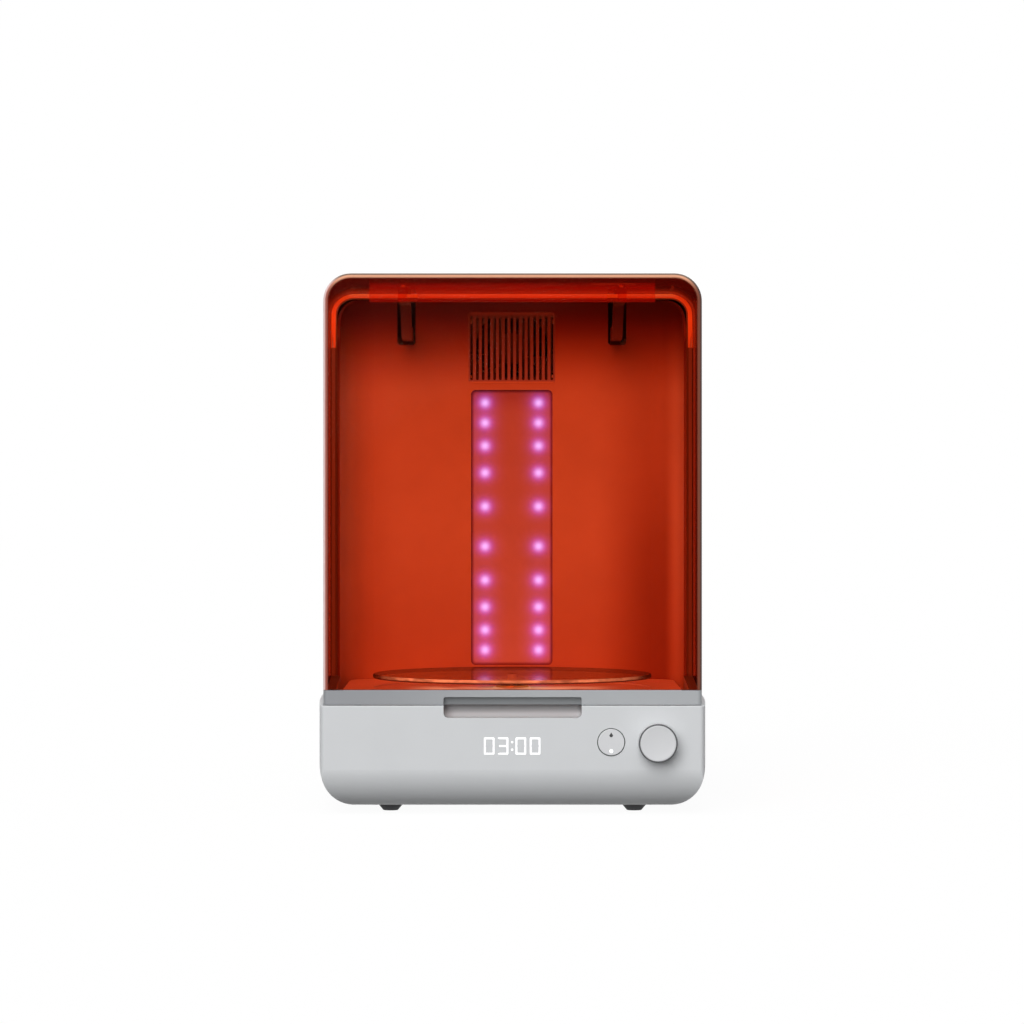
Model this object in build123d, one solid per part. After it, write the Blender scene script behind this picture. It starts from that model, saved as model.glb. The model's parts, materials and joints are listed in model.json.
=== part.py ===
from build123d import *
import os

# Bench-top light curing unit, in millimetres.
# +X is the user's right, +Y points to the back, +Z is up.
# The origin is the middle of the footprint, on the bench.
# Depths d are measured backwards from the front face of the base.
# Heights are drawn from a datum FOOT_DROP above the bench; the nodes are lifted by it when written.

# ---------------------------------------------------------------- driving dimensions
FRONT_HALF_WIDTH = 136.0
WAIST_HALF_WIDTH = 142.0  # the base's sides swell to this at WAIST_DEPTH, then run straight
WAIST_DEPTH = 150.0
DRAFT = 0.03  # the hood and tower lean out this much per millimetre of depth
BODY_DEPTH = 286.0
KNOB_PROUD = 14.0
FRONT_Y = -(BODY_DEPTH - KNOB_PROUD) / 2
HOOD_TOP = 380.5
FOOT_DROP = 3.8

BASE_BOTTOM = 1.5
BASE_TOP = 74.0
BASE_ROUND = 27.0
BASE_EDGE = 3.0
DECK_EDGE = 0.8
BASE_WALL = 2.6

HOOD_HALF_WIDTH = 134.2
HOOD_FRONT = 1.0
HOOD_WALL = 2.2
HOOD_CORNER = 19.5
HOOD_EDGE = 2.4
BAND_HALF_WIDTH = HOOD_HALF_WIDTH
BAND_FRONT = 0.4
BAND_BOTTOM = 74.5
BAND_TOP = 85.0
BAND_THICK = 9.0

TOWER_INSET = 2.6  # the tower stands inside the hood's outline by this much
TOWER_WALL = 4.0
TOWER_HALF_WIDTH = HOOD_HALF_WIDTH - TOWER_INSET
TOWER_TOP = HOOD_TOP - TOWER_INSET
TOWER_CORNER = HOOD_CORNER - TOWER_INSET
HINGE_DEPTH = 241.5
HINGE_Z = 336.0
HINGE_RADIUS = TOWER_TOP - HINGE_Z  # the tower's top is a barrel round the hinge axis
HINGE_GAP = 1.2
HOOD_END = HINGE_DEPTH - 8.3  # where the hood's top stops, just over the barrel
TOWER_FRONT = HINGE_DEPTH - HINGE_RADIUS
TOWER_BACK = HINGE_DEPTH + HINGE_RADIUS
SEAL_THICK = 1.0
HOOD_REAR = TOWER_FRONT - SEAL_THICK - 0.4

FLOOR_TOP = 81.0
FLOOR_HALF_WIDTH = 125.0
FLOOR_FRONT = 18.5
PANEL_DEPTH = 227.0
PANEL_THICK = 2.0
PANEL_HALF_WIDTH = 133.5
PANEL_BEND = 25.0  # the panel's sides bend forward to the tower's front edge
PANEL_TOP = TOWER_TOP - TOWER_WALL - 0.3
PANEL_CORNER = TOWER_CORNER - TOWER_WALL + 0.3

TABLE_DEPTH = 115.0
TABLE_RADIUS = 103.0
TABLE_BOTTOM = 88.0
TABLE_TOP = 91.0

FLANGE_THICK = 3.0
HOOD_UNDERSIDE = HOOD_TOP - HOOD_WALL
ARM_X = 80.0
ARM_WIDTH = 7.6
ARM_HEIGHT = 10.0
ARM_LOW_Z = 346.5
ARM_HIGH_Z = HOOD_UNDERSIDE - FLANGE_THICK - ARM_HEIGHT / 2
ARM_BOSS = 8.0
PIN_RADIUS = 3.0
PIN_FIT = 0.05

SCOOP_HALF_WIDTH = 49.0
SCOOP_BOTTOM = 65.2
SCOOP_DEPTH = 15.0
NOTCH_TOP = 80.0
NOTCH_DEPTH = 6.6

BUTTON_X = 69.9
KNOB_X = 102.7
CONTROL_Z = 48.0
BUTTON_RADIUS = 9.4
KNOB_RADIUS = 13.7
KNOB_RING = 1.0
CONTROL_GAP = 0.6

GRILLE_SLOTS = 15
GRILLE_PITCH = 4.42
GRILLE_SLOT = 2.1
GRILLE_BOTTOM = 311.6
GRILLE_TOP = 361.2
GRILLE_MID_Z = (GRILLE_BOTTOM + GRILLE_TOP) / 2
GRILLE_MARGIN = 2.6
GRILLE_HALF_WIDTH = 33.4
WINDOW_HALF_WIDTH = 31.4
WINDOW_BOTTOM = 91.7
WINDOW_TOP = 304.0
LED_X = 20.65
LED_MID_Z = 198.7
LED_GAPS = (30.8, 26.0, 20.8, 17.7, 15.5)  # from the middle pair of rows outwards
SLOT_X = 81.3
SLOT_HALF = 7.1
SLOT_BOTTOM = 338.7

FOOT_X = 87.8
FOOT_DEPTHS = (45.0, 235.0)
HINGE_SCREW_DX = 3.4
HINGE_SCREW_Z = 318.0
HINGE_SCREWS = [
    (side * ARM_X + dx, HINGE_SCREW_Z)
    for side in (-1, 1)
    for dx in (-HINGE_SCREW_DX, HINGE_SCREW_DX)
]


# ---------------------------------------------------------------- shared helpers
def box(x0, x1, d0, d1, z0, z1):
    """A block between two corners, with depths behind the front face."""
    middle = Pos((x0 + x1) / 2, FRONT_Y + (d0 + d1) / 2, (z0 + z1) / 2)
    return middle * Box(x1 - x0, d1 - d0, z1 - z0)


def rod_x(d, z, radius, x0, x1):
    return Pos((x0 + x1) / 2, FRONT_Y + d, z) * Rot(0, 90, 0) * Cylinder(radius, x1 - x0)


def rod_y(x, z, radius, d0, d1):
    return Pos(x, FRONT_Y + (d0 + d1) / 2, z) * Rot(90, 0, 0) * Cylinder(radius, d1 - d0)


def rod_z(x, d, radius, z0, z1):
    return Pos(x, FRONT_Y + d, (z0 + z1) / 2) * Cylinder(radius, z1 - z0)


def slot_xz(x, z, width, height, d0, d1):
    """A round-ended upright slot through a wall that faces the front."""
    outline = Plane.XZ.offset(-(FRONT_Y + d0)) * Pos(x, z) * SlotOverall(height, width, rotation=90)
    return extrude(outline, -(d1 - d0))


def section(half_width, z0, z1, top_radius, d):
    """The front-view outline of a casing at one depth."""
    outline = Pos(0, (z0 + z1) / 2) * Rectangle(2 * half_width, z1 - z0)
    if top_radius:
        outline = fillet(outline.vertices().group_by(Axis.Y)[-1], top_radius)
    return Plane.XZ.offset(-(FRONT_Y + d)) * outline


def casing(half_width, d0, d1, z0, z1, top_radius=0.0):
    """A block whose sides lean out by the draft from front to back."""
    front = section(half_width + DRAFT * d0, z0, z1, top_radius, d0)
    back = section(half_width + DRAFT * d1, z0, z1, top_radius, d1)
    return loft([front, back], ruled=True)


def side_profile(points, radii, x0, x1):
    """A closed outline of (depth, z) points, pulled along X."""
    line = FilletPolyline(*points, radius=radii, close=True)
    outline = Plane.YZ.offset(x0) * Pos(FRONT_Y, 0) * make_face(line)
    return extrude(outline, x1 - x0)


def plan_block(half_width, d0, d1, z0, z1, corner):
    """A block with rounded upright corners."""
    outline = Pos(0, FRONT_Y + (d0 + d1) / 2, z0) * RectangleRounded(2 * half_width, d1 - d0, corner)
    return extrude(outline, z1 - z0)


def screw_up(x, d, z, length):
    """A pan-head screw driven upwards, its head below z."""
    head = rod_z(x, d, 2.8, z - 1.9, z)
    socket = Pos(x, FRONT_Y + d, z - 1.9) * extrude(RegularPolygon(1.4, 6), 1.1)
    return head - socket + rod_z(x, d, 1.45, z, z + length)


def screw_forward(x, z, d, length):
    """A pan-head screw driven forwards, its head behind depth d."""
    head = rod_y(x, z, 2.8, d, d + 1.9)
    plane = Plane.XZ.offset(-(FRONT_Y + d + 1.9))
    socket = extrude(plane * Pos(x, z) * RegularPolygon(1.4, 6), 1.1)
    return head - socket + rod_y(x, z, 1.45, d - length, d)


def both_sides(solid):
    return solid + mirror(solid, about=Plane.YZ)


# ---------------------------------------------------------------- base
SCREW_HOLE = 1.6
PLATE_HALF_WIDTH = 106.0
PLATE_D0 = 30.0
PLATE_D1 = 256.0
PLATE_THICK = 2.5
PLATE_GAP = 0.4
BOSS_RADIUS = 4.0
PLATE_BOSSES = [(x, d) for x in (-99.0, 99.0) for d in (37.0, 143.0, 249.0)]
INLET_X = -84.0
SWITCH_X = -46.0
REAR_PORT_Z = 42.0
INLET_SIZE = (27.0, 20.0)
SWITCH_SIZE = (19.0, 13.0)
DECK_HOLE = 30.0
CABLE_HOLE = (-90.0, 90.0, 236.0, 278.0)
BOARD_FRONT = 16.0
BOARD_POST_Z = 29.0
BOARD_POSTS = (-30.0, 40.0, 118.0)
BUSH_RADIUS = 8.0
LATCH_X = 131.6
LATCH_DEPTH = 60.0
PLUNGER_RADIUS = 1.6
PLUNGER_TOP = BAND_BOTTOM - 0.1


def footprint():
    """The base in plan: sides that swell in an arc from the front, then run straight."""
    front = FRONT_Y
    waist = FRONT_Y + WAIST_DEPTH
    back = FRONT_Y + BODY_DEPTH
    right = TangentArc((WAIST_HALF_WIDTH, waist), (FRONT_HALF_WIDTH, front), tangent=(0, -1))
    left = TangentArc((-WAIST_HALF_WIDTH, waist), (-FRONT_HALF_WIDTH, front), tangent=(0, -1))
    rear = Polyline(
        (WAIST_HALF_WIDTH, waist), (WAIST_HALF_WIDTH, back),
        (-WAIST_HALF_WIDTH, back), (-WAIST_HALF_WIDTH, waist),
    )
    nose = Line((-FRONT_HALF_WIDTH, front), (FRONT_HALF_WIDTH, front))
    return make_face(right + left + rear + nose)


def base_outside():
    """Block on the footprint with a large round all along its lower edge."""
    block = extrude(Pos(0, 0, BASE_BOTTOM) * footprint(), BASE_TOP - BASE_BOTTOM)
    rolled = fillet(block.edges().group_by(Axis.Z)[0], BASE_ROUND)
    corners = [e for e in block.edges().filter_by(Axis.Z) if abs(e.center().Y) > BODY_DEPTH / 3]
    upright = fillet(corners, BASE_EDGE)
    return rolled & fillet(upright.edges().group_by(Axis.Z)[-1], DECK_EDGE)


def base_inside():
    outline = offset(footprint(), -BASE_WALL)
    low = BASE_BOTTOM + BASE_WALL
    inner = extrude(Pos(0, 0, low) * outline, BASE_TOP - BASE_WALL - low)
    return fillet(inner.edges().group_by(Axis.Z)[0], BASE_ROUND - BASE_WALL)


def scoop(grow):
    """The finger scoop below the hood's handle, or the wall round it when grown."""
    half = SCOOP_HALF_WIDTH + grow
    low = SCOOP_BOTTOM - grow
    deep = SCOOP_DEPTH + grow
    block = box(-half, half, -1, deep, low, BASE_TOP + 1)
    rear = block.edges().filter_by(Axis.X).group_by(Axis.Z)[0].sort_by(Axis.Y)[-1]
    block = fillet(rear, 7.0 + grow)
    sides = block.edges().filter_by(Axis.Y).group_by(Axis.Z)[0]
    return fillet(sides, 3.5 + grow)


def base_shell():
    shell = base_outside() - base_inside()
    shell += scoop(BASE_WALL) & base_inside()
    shell -= scoop(0)
    shell -= plan_block(
        PLATE_HALF_WIDTH + PLATE_GAP,
        PLATE_D0 - PLATE_GAP,
        PLATE_D1 + PLATE_GAP,
        BASE_BOTTOM - 1,
        BASE_BOTTOM + BASE_WALL + 1,
        8.4,
    )
    for x, d in PLATE_BOSSES:
        boss = rod_z(x, d, BOSS_RADIUS, BASE_BOTTOM + PLATE_THICK, BASE_TOP - BASE_WALL + 0.5)
        shell += boss - rod_z(x, d, SCREW_HOLE, 0, 30)
    for x in BOARD_POSTS:
        post = rod_y(x, BOARD_POST_Z, 3.0, BASE_WALL - 0.3, BOARD_FRONT)
        shell += post - rod_y(x, BOARD_POST_Z, 1.2, BASE_WALL + 2, BOARD_FRONT + 1)
    shell -= rod_y(BUTTON_X, CONTROL_Z, BUTTON_RADIUS + CONTROL_GAP, -1, 5)
    shell -= rod_y(KNOB_X, CONTROL_Z, 3.6, -1, 5)
    shell -= rod_z(0, TABLE_DEPTH, DECK_HOLE, BASE_TOP - 5, BASE_TOP + 1)
    shell -= box(*CABLE_HOLE, BASE_TOP - 5, BASE_TOP + 1)
    rear = BODY_DEPTH - BASE_WALL - 1
    for x, size in ((INLET_X, INLET_SIZE), (SWITCH_X, SWITCH_SIZE)):
        half_x = size[0] / 2 + 0.1
        half_z = size[1] / 2 + 0.1
        shell -= box(
            x - half_x, x + half_x, rear, BODY_DEPTH + 1, REAR_PORT_Z - half_z, REAR_PORT_Z + half_z
        )
    shell -= rod_z(LATCH_X, LATCH_DEPTH, PLUNGER_RADIUS + 0.35, BASE_TOP - 5, BASE_TOP + 1)
    return shell


def base_plate():
    plate = plan_block(
        PLATE_HALF_WIDTH, PLATE_D0, PLATE_D1, BASE_BOTTOM, BASE_BOTTOM + PLATE_THICK, 8.0
    )
    for row in range(9):
        for x in (-38.0, 38.0):
            outline = Pos(x, FRONT_Y + 95 + 9 * row, 0) * SlotOverall(52, 3)
            plate -= extrude(outline, 20)
    for x, d in PLATE_BOSSES:
        plate -= rod_z(x, d, SCREW_HOLE, 0, 20)
        plate -= rod_z(x, d, 3.1, 0, BASE_BOTTOM + 1.0)
    for x in (-FOOT_X, FOOT_X):
        for d in FOOT_DEPTHS:
            plate -= rod_z(x, d, 4.0, 0, 20)
    return plate


def rubber_feet():
    """Tapered feet, each with a stem pushed up through the bottom plate."""
    feet = Part()
    for x in (-FOOT_X, FOOT_X):
        for d in FOOT_DEPTHS:
            height = BASE_BOTTOM + FOOT_DROP
            cone = Pos(x, FRONT_Y + d, BASE_BOTTOM - height / 2) * Cone(5.3, 9.8, height)
            stem = rod_z(x, d, 3.9, BASE_BOTTOM, BASE_BOTTOM + PLATE_THICK + 2.0)
            feet += cone + stem
    return feet


def base_screws():
    screws = Part()
    for x, d in PLATE_BOSSES:
        screws += screw_up(x, d, BASE_BOTTOM + 1.0, 14.0) & box(-200, 200, 0, 300, BASE_BOTTOM - 0.8, 60)
    return screws


# ---------------------------------------------------------------- turntable drive
MOTOR_RADIUS = 19.0
MOTOR_TOP = 62.0
SPINDLE_RADIUS = 4.0
HUB_RADIUS = 26.0
HUB_BOTTOM = 83.5
HUB_TOP = TABLE_BOTTOM - 0.05
HUB_PIN = 3.6


def turntable_motor():
    """Gearmotor: a round gearbox can over a narrower motor can, hung under the bracket."""
    gearbox = rod_z(0, TABLE_DEPTH, MOTOR_RADIUS, 38.0, MOTOR_TOP)
    motor = rod_z(0, TABLE_DEPTH, 14.0, 16.0, 38.0)
    terminals = both_sides(box(5.0, 8.0, TABLE_DEPTH - 0.5, TABLE_DEPTH + 0.5, 12.0, 16.0))
    motor = gearbox + motor + terminals
    motor -= rod_z(0, TABLE_DEPTH, SPINDLE_RADIUS + PIN_FIT, 50.0, MOTOR_TOP + 1)
    return motor


def motor_bracket():
    """Hat-shaped sheet bracket that carries the motor under the base's deck."""
    top = BASE_TOP - BASE_WALL
    line = Polyline(
        (-42.0, top - 1.0), (-29.0, top - 1.0), (-25.0, MOTOR_TOP + 1.0),
        (25.0, MOTOR_TOP + 1.0), (29.0, top - 1.0), (42.0, top - 1.0),
    )
    outline = Plane.XZ.offset(-(FRONT_Y + TABLE_DEPTH - 16)) * trace(line, 2.0)
    bracket = extrude(outline, -32)
    bracket &= box(-42, 42, 0, 300, MOTOR_TOP, top)
    bracket -= rod_z(0, TABLE_DEPTH, 6.0, 50, 80)
    for x in (-35.5, 35.5):
        bracket -= rod_z(x, TABLE_DEPTH, SCREW_HOLE, 60, 80)
    return bracket


def bracket_screws():
    top = BASE_TOP - BASE_WALL
    return both_sides(screw_up(35.5, TABLE_DEPTH, top - 2.05, 2.0))


def spindle_bush():
    """Flanged bush in the chamber floor that the spindle runs in."""
    bush = rod_z(0, TABLE_DEPTH, BUSH_RADIUS, FLOOR_TOP - 6.0, FLOOR_TOP + 1.2)
    bush += rod_z(0, TABLE_DEPTH, BUSH_RADIUS + 4, FLOOR_TOP, FLOOR_TOP + 1.2)
    return bush - rod_z(0, TABLE_DEPTH, SPINDLE_RADIUS + PIN_FIT, 60, 90)


def drive_spindle():
    lower = rod_z(0, TABLE_DEPTH, SPINDLE_RADIUS, 51.0, HUB_BOTTOM + 2.5)
    flat = box(2.9, 10, TABLE_DEPTH - 10, TABLE_DEPTH + 10, FLOOR_TOP + 2.0, 100)
    return lower - flat


def drive_hub():
    """Round carrier with a raised rim, a boss for the spindle and a locating pin."""
    hub = rod_z(0, TABLE_DEPTH, HUB_RADIUS, HUB_TOP - 2.2, HUB_TOP)
    hub += rod_z(0, TABLE_DEPTH, 9.0, HUB_BOTTOM, HUB_TOP)
    hub += rod_z(0, TABLE_DEPTH, HUB_PIN, HUB_TOP, TABLE_TOP - 0.8)
    hub -= rod_z(0, TABLE_DEPTH, 20.0, HUB_TOP - 0.8, HUB_TOP) - rod_z(0, TABLE_DEPTH, 9.0, 80, 90)
    bore = rod_z(0, TABLE_DEPTH, SPINDLE_RADIUS + 0.02, HUB_BOTTOM - 1, HUB_BOTTOM + 2.6)
    flat = box(2.92, 10, TABLE_DEPTH - 10, TABLE_DEPTH + 10, 80, 100)
    return hub - (bore - flat)


def glass_turntable():
    plate = rod_z(0, TABLE_DEPTH, TABLE_RADIUS, TABLE_BOTTOM, TABLE_TOP)
    plate = fillet(plate.edges().filter_by(GeomType.CIRCLE), 1.0)
    return plate - rod_z(0, TABLE_DEPTH, HUB_PIN + 0.35, 80, 100)


# ---------------------------------------------------------------- chamber
def pan_block(inset, z0, z1):
    """The floor pan in plan: its rear corners are rounder, to clear the panel's bends."""
    half = FLOOR_HALF_WIDTH - inset
    back = PANEL_DEPTH - 0.2 - inset
    block = plan_block(half, FLOOR_FRONT + inset, back, z0, z1, 10.0 - inset)
    return block & plan_block(half, 0, back, z0, z1, 17.5 - inset)


def chamber_floor():
    """Raised reflective pan with a turned-down edge and a shallow dish under the turntable."""
    top = pan_block(0, BASE_TOP, FLOOR_TOP)
    top = fillet(top.edges().group_by(Axis.Z)[-1], 2.0)
    pan = top - pan_block(1.5, BASE_TOP - 1, FLOOR_TOP - 2.0)
    pan -= rod_z(0, TABLE_DEPTH, TABLE_RADIUS - 1, FLOOR_TOP - 0.8, FLOOR_TOP + 1)
    boss = rod_z(0, TABLE_DEPTH, BUSH_RADIUS + 6, FLOOR_TOP - 6, FLOOR_TOP)
    pan += boss
    return pan - rod_z(0, TABLE_DEPTH, BUSH_RADIUS, 60, 90)


def plate_xz(half_width, z0, z1, corner, d0, d1):
    """A flat plate with rounded corners that faces the front."""
    outline = Pos(0, (z0 + z1) / 2) * RectangleRounded(2 * half_width, z1 - z0, corner)
    return extrude(Plane.XZ.offset(-(FRONT_Y + d0)) * outline, -(d1 - d0))


def bent_sheet():
    """A sheet that is flat at the back and bends forward along both sides."""
    back = PANEL_DEPTH + PANEL_THICK
    outside = plan_block(PANEL_HALF_WIDTH, 0, back, BASE_TOP, PANEL_TOP, PANEL_BEND + PANEL_THICK)
    half = PANEL_HALF_WIDTH - PANEL_THICK
    inside = plan_block(half, 0, PANEL_DEPTH, BASE_TOP - 1, PANEL_TOP + 1, PANEL_BEND)
    rim = barrel(HINGE_RADIUS - 1.2) + below_hinge(TOWER_FRONT + 1.2, back + 1)
    outline = section(PANEL_HALF_WIDTH, BASE_TOP, PANEL_TOP, PANEL_CORNER, back)
    return (outside - inside) & rim & extrude(outline, back)


def chamber_back_panel():
    """Reflective sheet with openings for the grille, the LED window and the hinge arms."""
    d0 = PANEL_DEPTH
    d1 = PANEL_DEPTH + PANEL_THICK
    panel = bent_sheet()
    panel -= plate_xz(
        GRILLE_HALF_WIDTH + 0.1,
        GRILLE_BOTTOM - GRILLE_MARGIN - 0.1,
        GRILLE_TOP + GRILLE_MARGIN + 0.1,
        2.6, d0 - 1, d1 + 1,
    )
    panel -= plate_xz(WINDOW_HALF_WIDTH, WINDOW_BOTTOM, WINDOW_TOP, 3.5, d0 - 1, d1 + 1)
    for x in (-SLOT_X, SLOT_X):
        slot = box(x - SLOT_HALF, x + SLOT_HALF, d0 - 1, d1 + 1, SLOT_BOTTOM, PANEL_TOP + 1)
        slot = fillet(slot.edges().filter_by(Axis.Y).group_by(Axis.Z)[0], 2.4)
        panel -= slot
    for x, z in HINGE_SCREWS:
        panel -= rod_y(x, z, SCREW_HOLE, d0 + 0.6, d1 + 1)
    return panel


def vent_grille():
    """Moulded grille with upright slots, set flush in the panel."""
    d0 = PANEL_DEPTH
    d1 = PANEL_DEPTH + PANEL_THICK
    grille = plate_xz(
        GRILLE_HALF_WIDTH, GRILLE_BOTTOM - GRILLE_MARGIN, GRILLE_TOP + GRILLE_MARGIN, 2.5, d0, d1
    )
    for column in range(GRILLE_SLOTS):
        x = (column - (GRILLE_SLOTS - 1) / 2) * GRILLE_PITCH
        grille -= slot_xz(x, GRILLE_MID_Z, GRILLE_SLOT, GRILLE_TOP - GRILLE_BOTTOM, d0 - 1, d1 + 1)
    return grille


WINDOW_SHEET = 1.2
BOARD_DEPTH = 236.0
BOARD_THICK = 1.6
SINK_DEEP = 16.0
SINK_BACK = BOARD_DEPTH + BOARD_THICK + SINK_DEEP
FRAME_X = 33.0


def led_window():
    """Diffusing sheet that covers the window from behind."""
    back = PANEL_DEPTH + PANEL_THICK
    return box(
        -WINDOW_HALF_WIDTH - 1.4, WINDOW_HALF_WIDTH + 1.4,
        back, back + WINDOW_SHEET,
        WINDOW_BOTTOM - 3, WINDOW_TOP + 3,
    )


def led_rows():
    rows = []
    offset = -LED_GAPS[0] / 2
    for gap in LED_GAPS:
        offset += gap
        rows += [LED_MID_Z - offset, LED_MID_Z + offset]
    return rows


def led_board(x):
    return box(x - 7, x + 7, BOARD_DEPTH, BOARD_DEPTH + BOARD_THICK, LED_MID_Z - 104, LED_MID_Z + 104)


def leds(x):
    """Square LED packages, each with its clear dome."""
    group = Part()
    for z in led_rows():
        package = box(x - 1.9, x + 1.9, BOARD_DEPTH - 1.0, BOARD_DEPTH, z - 1.9, z + 1.9)
        dome = Pos(x, FRONT_Y + BOARD_DEPTH - 1.0, z) * Sphere(1.5)
        dome &= box(x - 3, x + 3, BOARD_DEPTH - 4, BOARD_DEPTH - 1.0, z - 3, z + 3)
        group += package + dome
    return group


def heat_sink(x):
    """Extruded heat sink with six upright fins."""
    front = BOARD_DEPTH + BOARD_THICK
    sink = box(x - 10, x + 10, front, front + 3, LED_MID_Z - 104, LED_MID_Z + 104)
    for fin in range(6):
        left = x - 10 + fin * 3.72
        sink += box(left, left + 1.4, front + 3, SINK_BACK, LED_MID_Z - 104, LED_MID_Z + 104)
    return sink


# ---------------------------------------------------------------- fan and heater
FAN_Z = GRILLE_MID_Z
FAN_HALF = 30.0
FAN_FRONT = 236.5
FAN_THICK = 15.0
FAN_BORE = 28.4
BLADES = 7


def fan_frame():
    """Square frame with a round duct, four struts and the bearing boss at its back."""
    back = FAN_FRONT + FAN_THICK
    outline = Pos(0, FAN_Z) * RectangleRounded(2 * FAN_HALF, 2 * FAN_HALF, 4.0)
    frame = extrude(Plane.XZ.offset(-(FRONT_Y + FAN_FRONT)) * outline, -FAN_THICK)
    frame -= rod_y(0, FAN_Z, FAN_BORE, FAN_FRONT - 1, back + 1)
    boss = rod_y(0, FAN_Z, 11.5, back - 3, back)
    for angle in (45, 135, 225, 315):
        arm = box(9, FAN_BORE + 1.0, back - 2, back, -1.5, 1.5)
        boss += Pos(0, 0, FAN_Z) * Rot(0, angle, 0) * arm
    frame += boss
    for x in (-25.0, 25.0):
        for z in (FAN_Z - 25.0, FAN_Z + 25.0):
            frame -= rod_y(x, z, 2.1, FAN_FRONT - 1, back + 1)
    return frame - rod_y(0, FAN_Z, 1.5 + PIN_FIT, back - 5, back + 1)


def fan_rotor():
    """Hub cup with seven pitched blades and its shaft."""
    back = FAN_FRONT + FAN_THICK
    rotor = rod_y(0, FAN_Z, 12.0, FAN_FRONT + 0.8, back - 3.8)
    rotor += rod_y(0, FAN_Z, 1.5, back - 4.0, back - 0.4)
    for blade in range(BLADES):
        plate = Pos(19.2, FRONT_Y + FAN_FRONT + 6.0, 0) * Rot(38, 0, 0) * Box(16.0, 1.6, 13.0)
        rotor += Pos(0, 0, FAN_Z) * Rot(0, blade * 360 / BLADES, 0) * plate
    ring = rod_y(0, FAN_Z, FAN_BORE - 0.9, FAN_FRONT + 0.8, back - 3.6)
    return rotor & (ring + rod_y(0, FAN_Z, 5, FAN_FRONT, back))


def heater_element():
    """Finned air heater between the grille and the fan."""
    d0 = PANEL_DEPTH + PANEL_THICK + 0.4
    d1 = FAN_FRONT - 0.3
    heater = box(-33, 33, d0, d1, GRILLE_TOP - 2, GRILLE_TOP + 4)
    heater += box(-33, 33, d0, d1, GRILLE_BOTTOM - 3.5, GRILLE_BOTTOM + 2)
    for fin in range(12):
        x = -30.25 + fin * 5.5
        heater += box(x - 0.6, x + 0.6, d0 + 1, d1, GRILLE_BOTTOM, GRILLE_TOP)
    return heater


# ---------------------------------------------------------------- tower
COVER_THICK = 2.6
COVER_BACK = TOWER_BACK - 0.2
COVER_BOTTOM = BASE_TOP + 1.0
COVER_TOP = HINGE_Z - 0.4
COVER_HALF_WIDTH = 135.7
COVER_SCREWS = [(x, z) for x in (-124.0, 124.0) for z in (86.0, 205.0, 322.0)]
VENT_COLUMNS = 13
VENT_PITCH = 8.0
VENT_BANKS = ((286.0, 56.0), (112.0, 36.0))  # middle height and slot length


def barrel(radius):
    return rod_x(HINGE_DEPTH, HINGE_Z, radius, -200, 200)


def below_hinge(d0, d1):
    return box(-200, 200, d0, d1, 0, HINGE_Z)


def tower_shell():
    """Drafted shell, open at the front, with a barrel top round the hinge axis.

    Its front edge is a 4 mm rim, cut to the hinge radius above the axis,
    so that the hood's rear edge can swing round it.
    """
    outside = casing(
        TOWER_HALF_WIDTH, TOWER_FRONT, TOWER_BACK, BASE_TOP, TOWER_TOP, TOWER_CORNER
    )
    rear = [e for e in outside.edges().filter_by(Axis.Z) if e.center().Y > 0]
    outside = fillet(rear, BASE_EDGE)
    outside &= barrel(HINGE_RADIUS) + below_hinge(0, TOWER_BACK + 1)
    inside = casing(
        TOWER_HALF_WIDTH - TOWER_WALL,
        TOWER_FRONT - 2,
        TOWER_BACK + 2,
        BASE_TOP - 1,
        TOWER_TOP - TOWER_WALL,
        TOWER_CORNER - TOWER_WALL,
    )
    room = box(-200, 200, 0, HINGE_DEPTH, 0, 400)
    room += barrel(HINGE_RADIUS - TOWER_WALL)
    room += below_hinge(0, TOWER_BACK + 5)
    shell = outside - (inside & room)
    for x, z in COVER_SCREWS:
        wall = TOWER_HALF_WIDTH + DRAFT * TOWER_BACK - TOWER_WALL + 0.5
        d1 = COVER_BACK - COVER_THICK
        near, far = sorted((x - 5 if x > 0 else x + 5, wall if x > 0 else -wall))
        shell += box(near, far, d1 - 14, d1, z - 5, z + 5)
        shell -= rod_y(x, z, SCREW_HOLE, d1 - 12, d1 + 1)
    for x in (-SLOT_X, SLOT_X):
        notch = box(x - SLOT_HALF, x + SLOT_HALF, 150, HINGE_DEPTH + 10, HINGE_Z, 400)
        shell -= fillet(notch.edges().filter_by(Axis.Z).group_by(Axis.Y)[-1], 5.0)
    return shell


def rear_cover():
    """Flat cover with two banks of vent slots."""
    d1 = COVER_BACK
    middle = (COVER_TOP + COVER_BOTTOM) / 2
    outline = Pos(0, middle) * RectangleRounded(
        2 * COVER_HALF_WIDTH, COVER_TOP - COVER_BOTTOM, 4.0
    )
    cover = extrude(Plane.XZ.offset(-(FRONT_Y + d1)) * outline, COVER_THICK)
    for column in range(VENT_COLUMNS):
        x = (column - (VENT_COLUMNS - 1) / 2) * VENT_PITCH
        for z, height in VENT_BANKS:
            cover -= slot_xz(x, z, 3.6, height, d1 - 10, d1 + 5)
    for x, z in COVER_SCREWS:
        cover -= rod_y(x, z, SCREW_HOLE, d1 - 10, d1 + 5)
    return cover


def cover_screws():
    screws = Part()
    for x, z in COVER_SCREWS:
        screws += screw_forward(x, z, COVER_BACK, 9.0)
    return screws


def vent_filters():
    """Black foam sheets that back the cover's two banks of slots."""
    d1 = COVER_BACK - COVER_THICK
    half = (VENT_COLUMNS + 1) / 2 * VENT_PITCH
    sheets = Part()
    for z, height in VENT_BANKS:
        sheets += box(-half, half, d1 - 4.0, d1, z - height / 2 - 5, z + height / 2 + 5)
    return sheets


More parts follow.
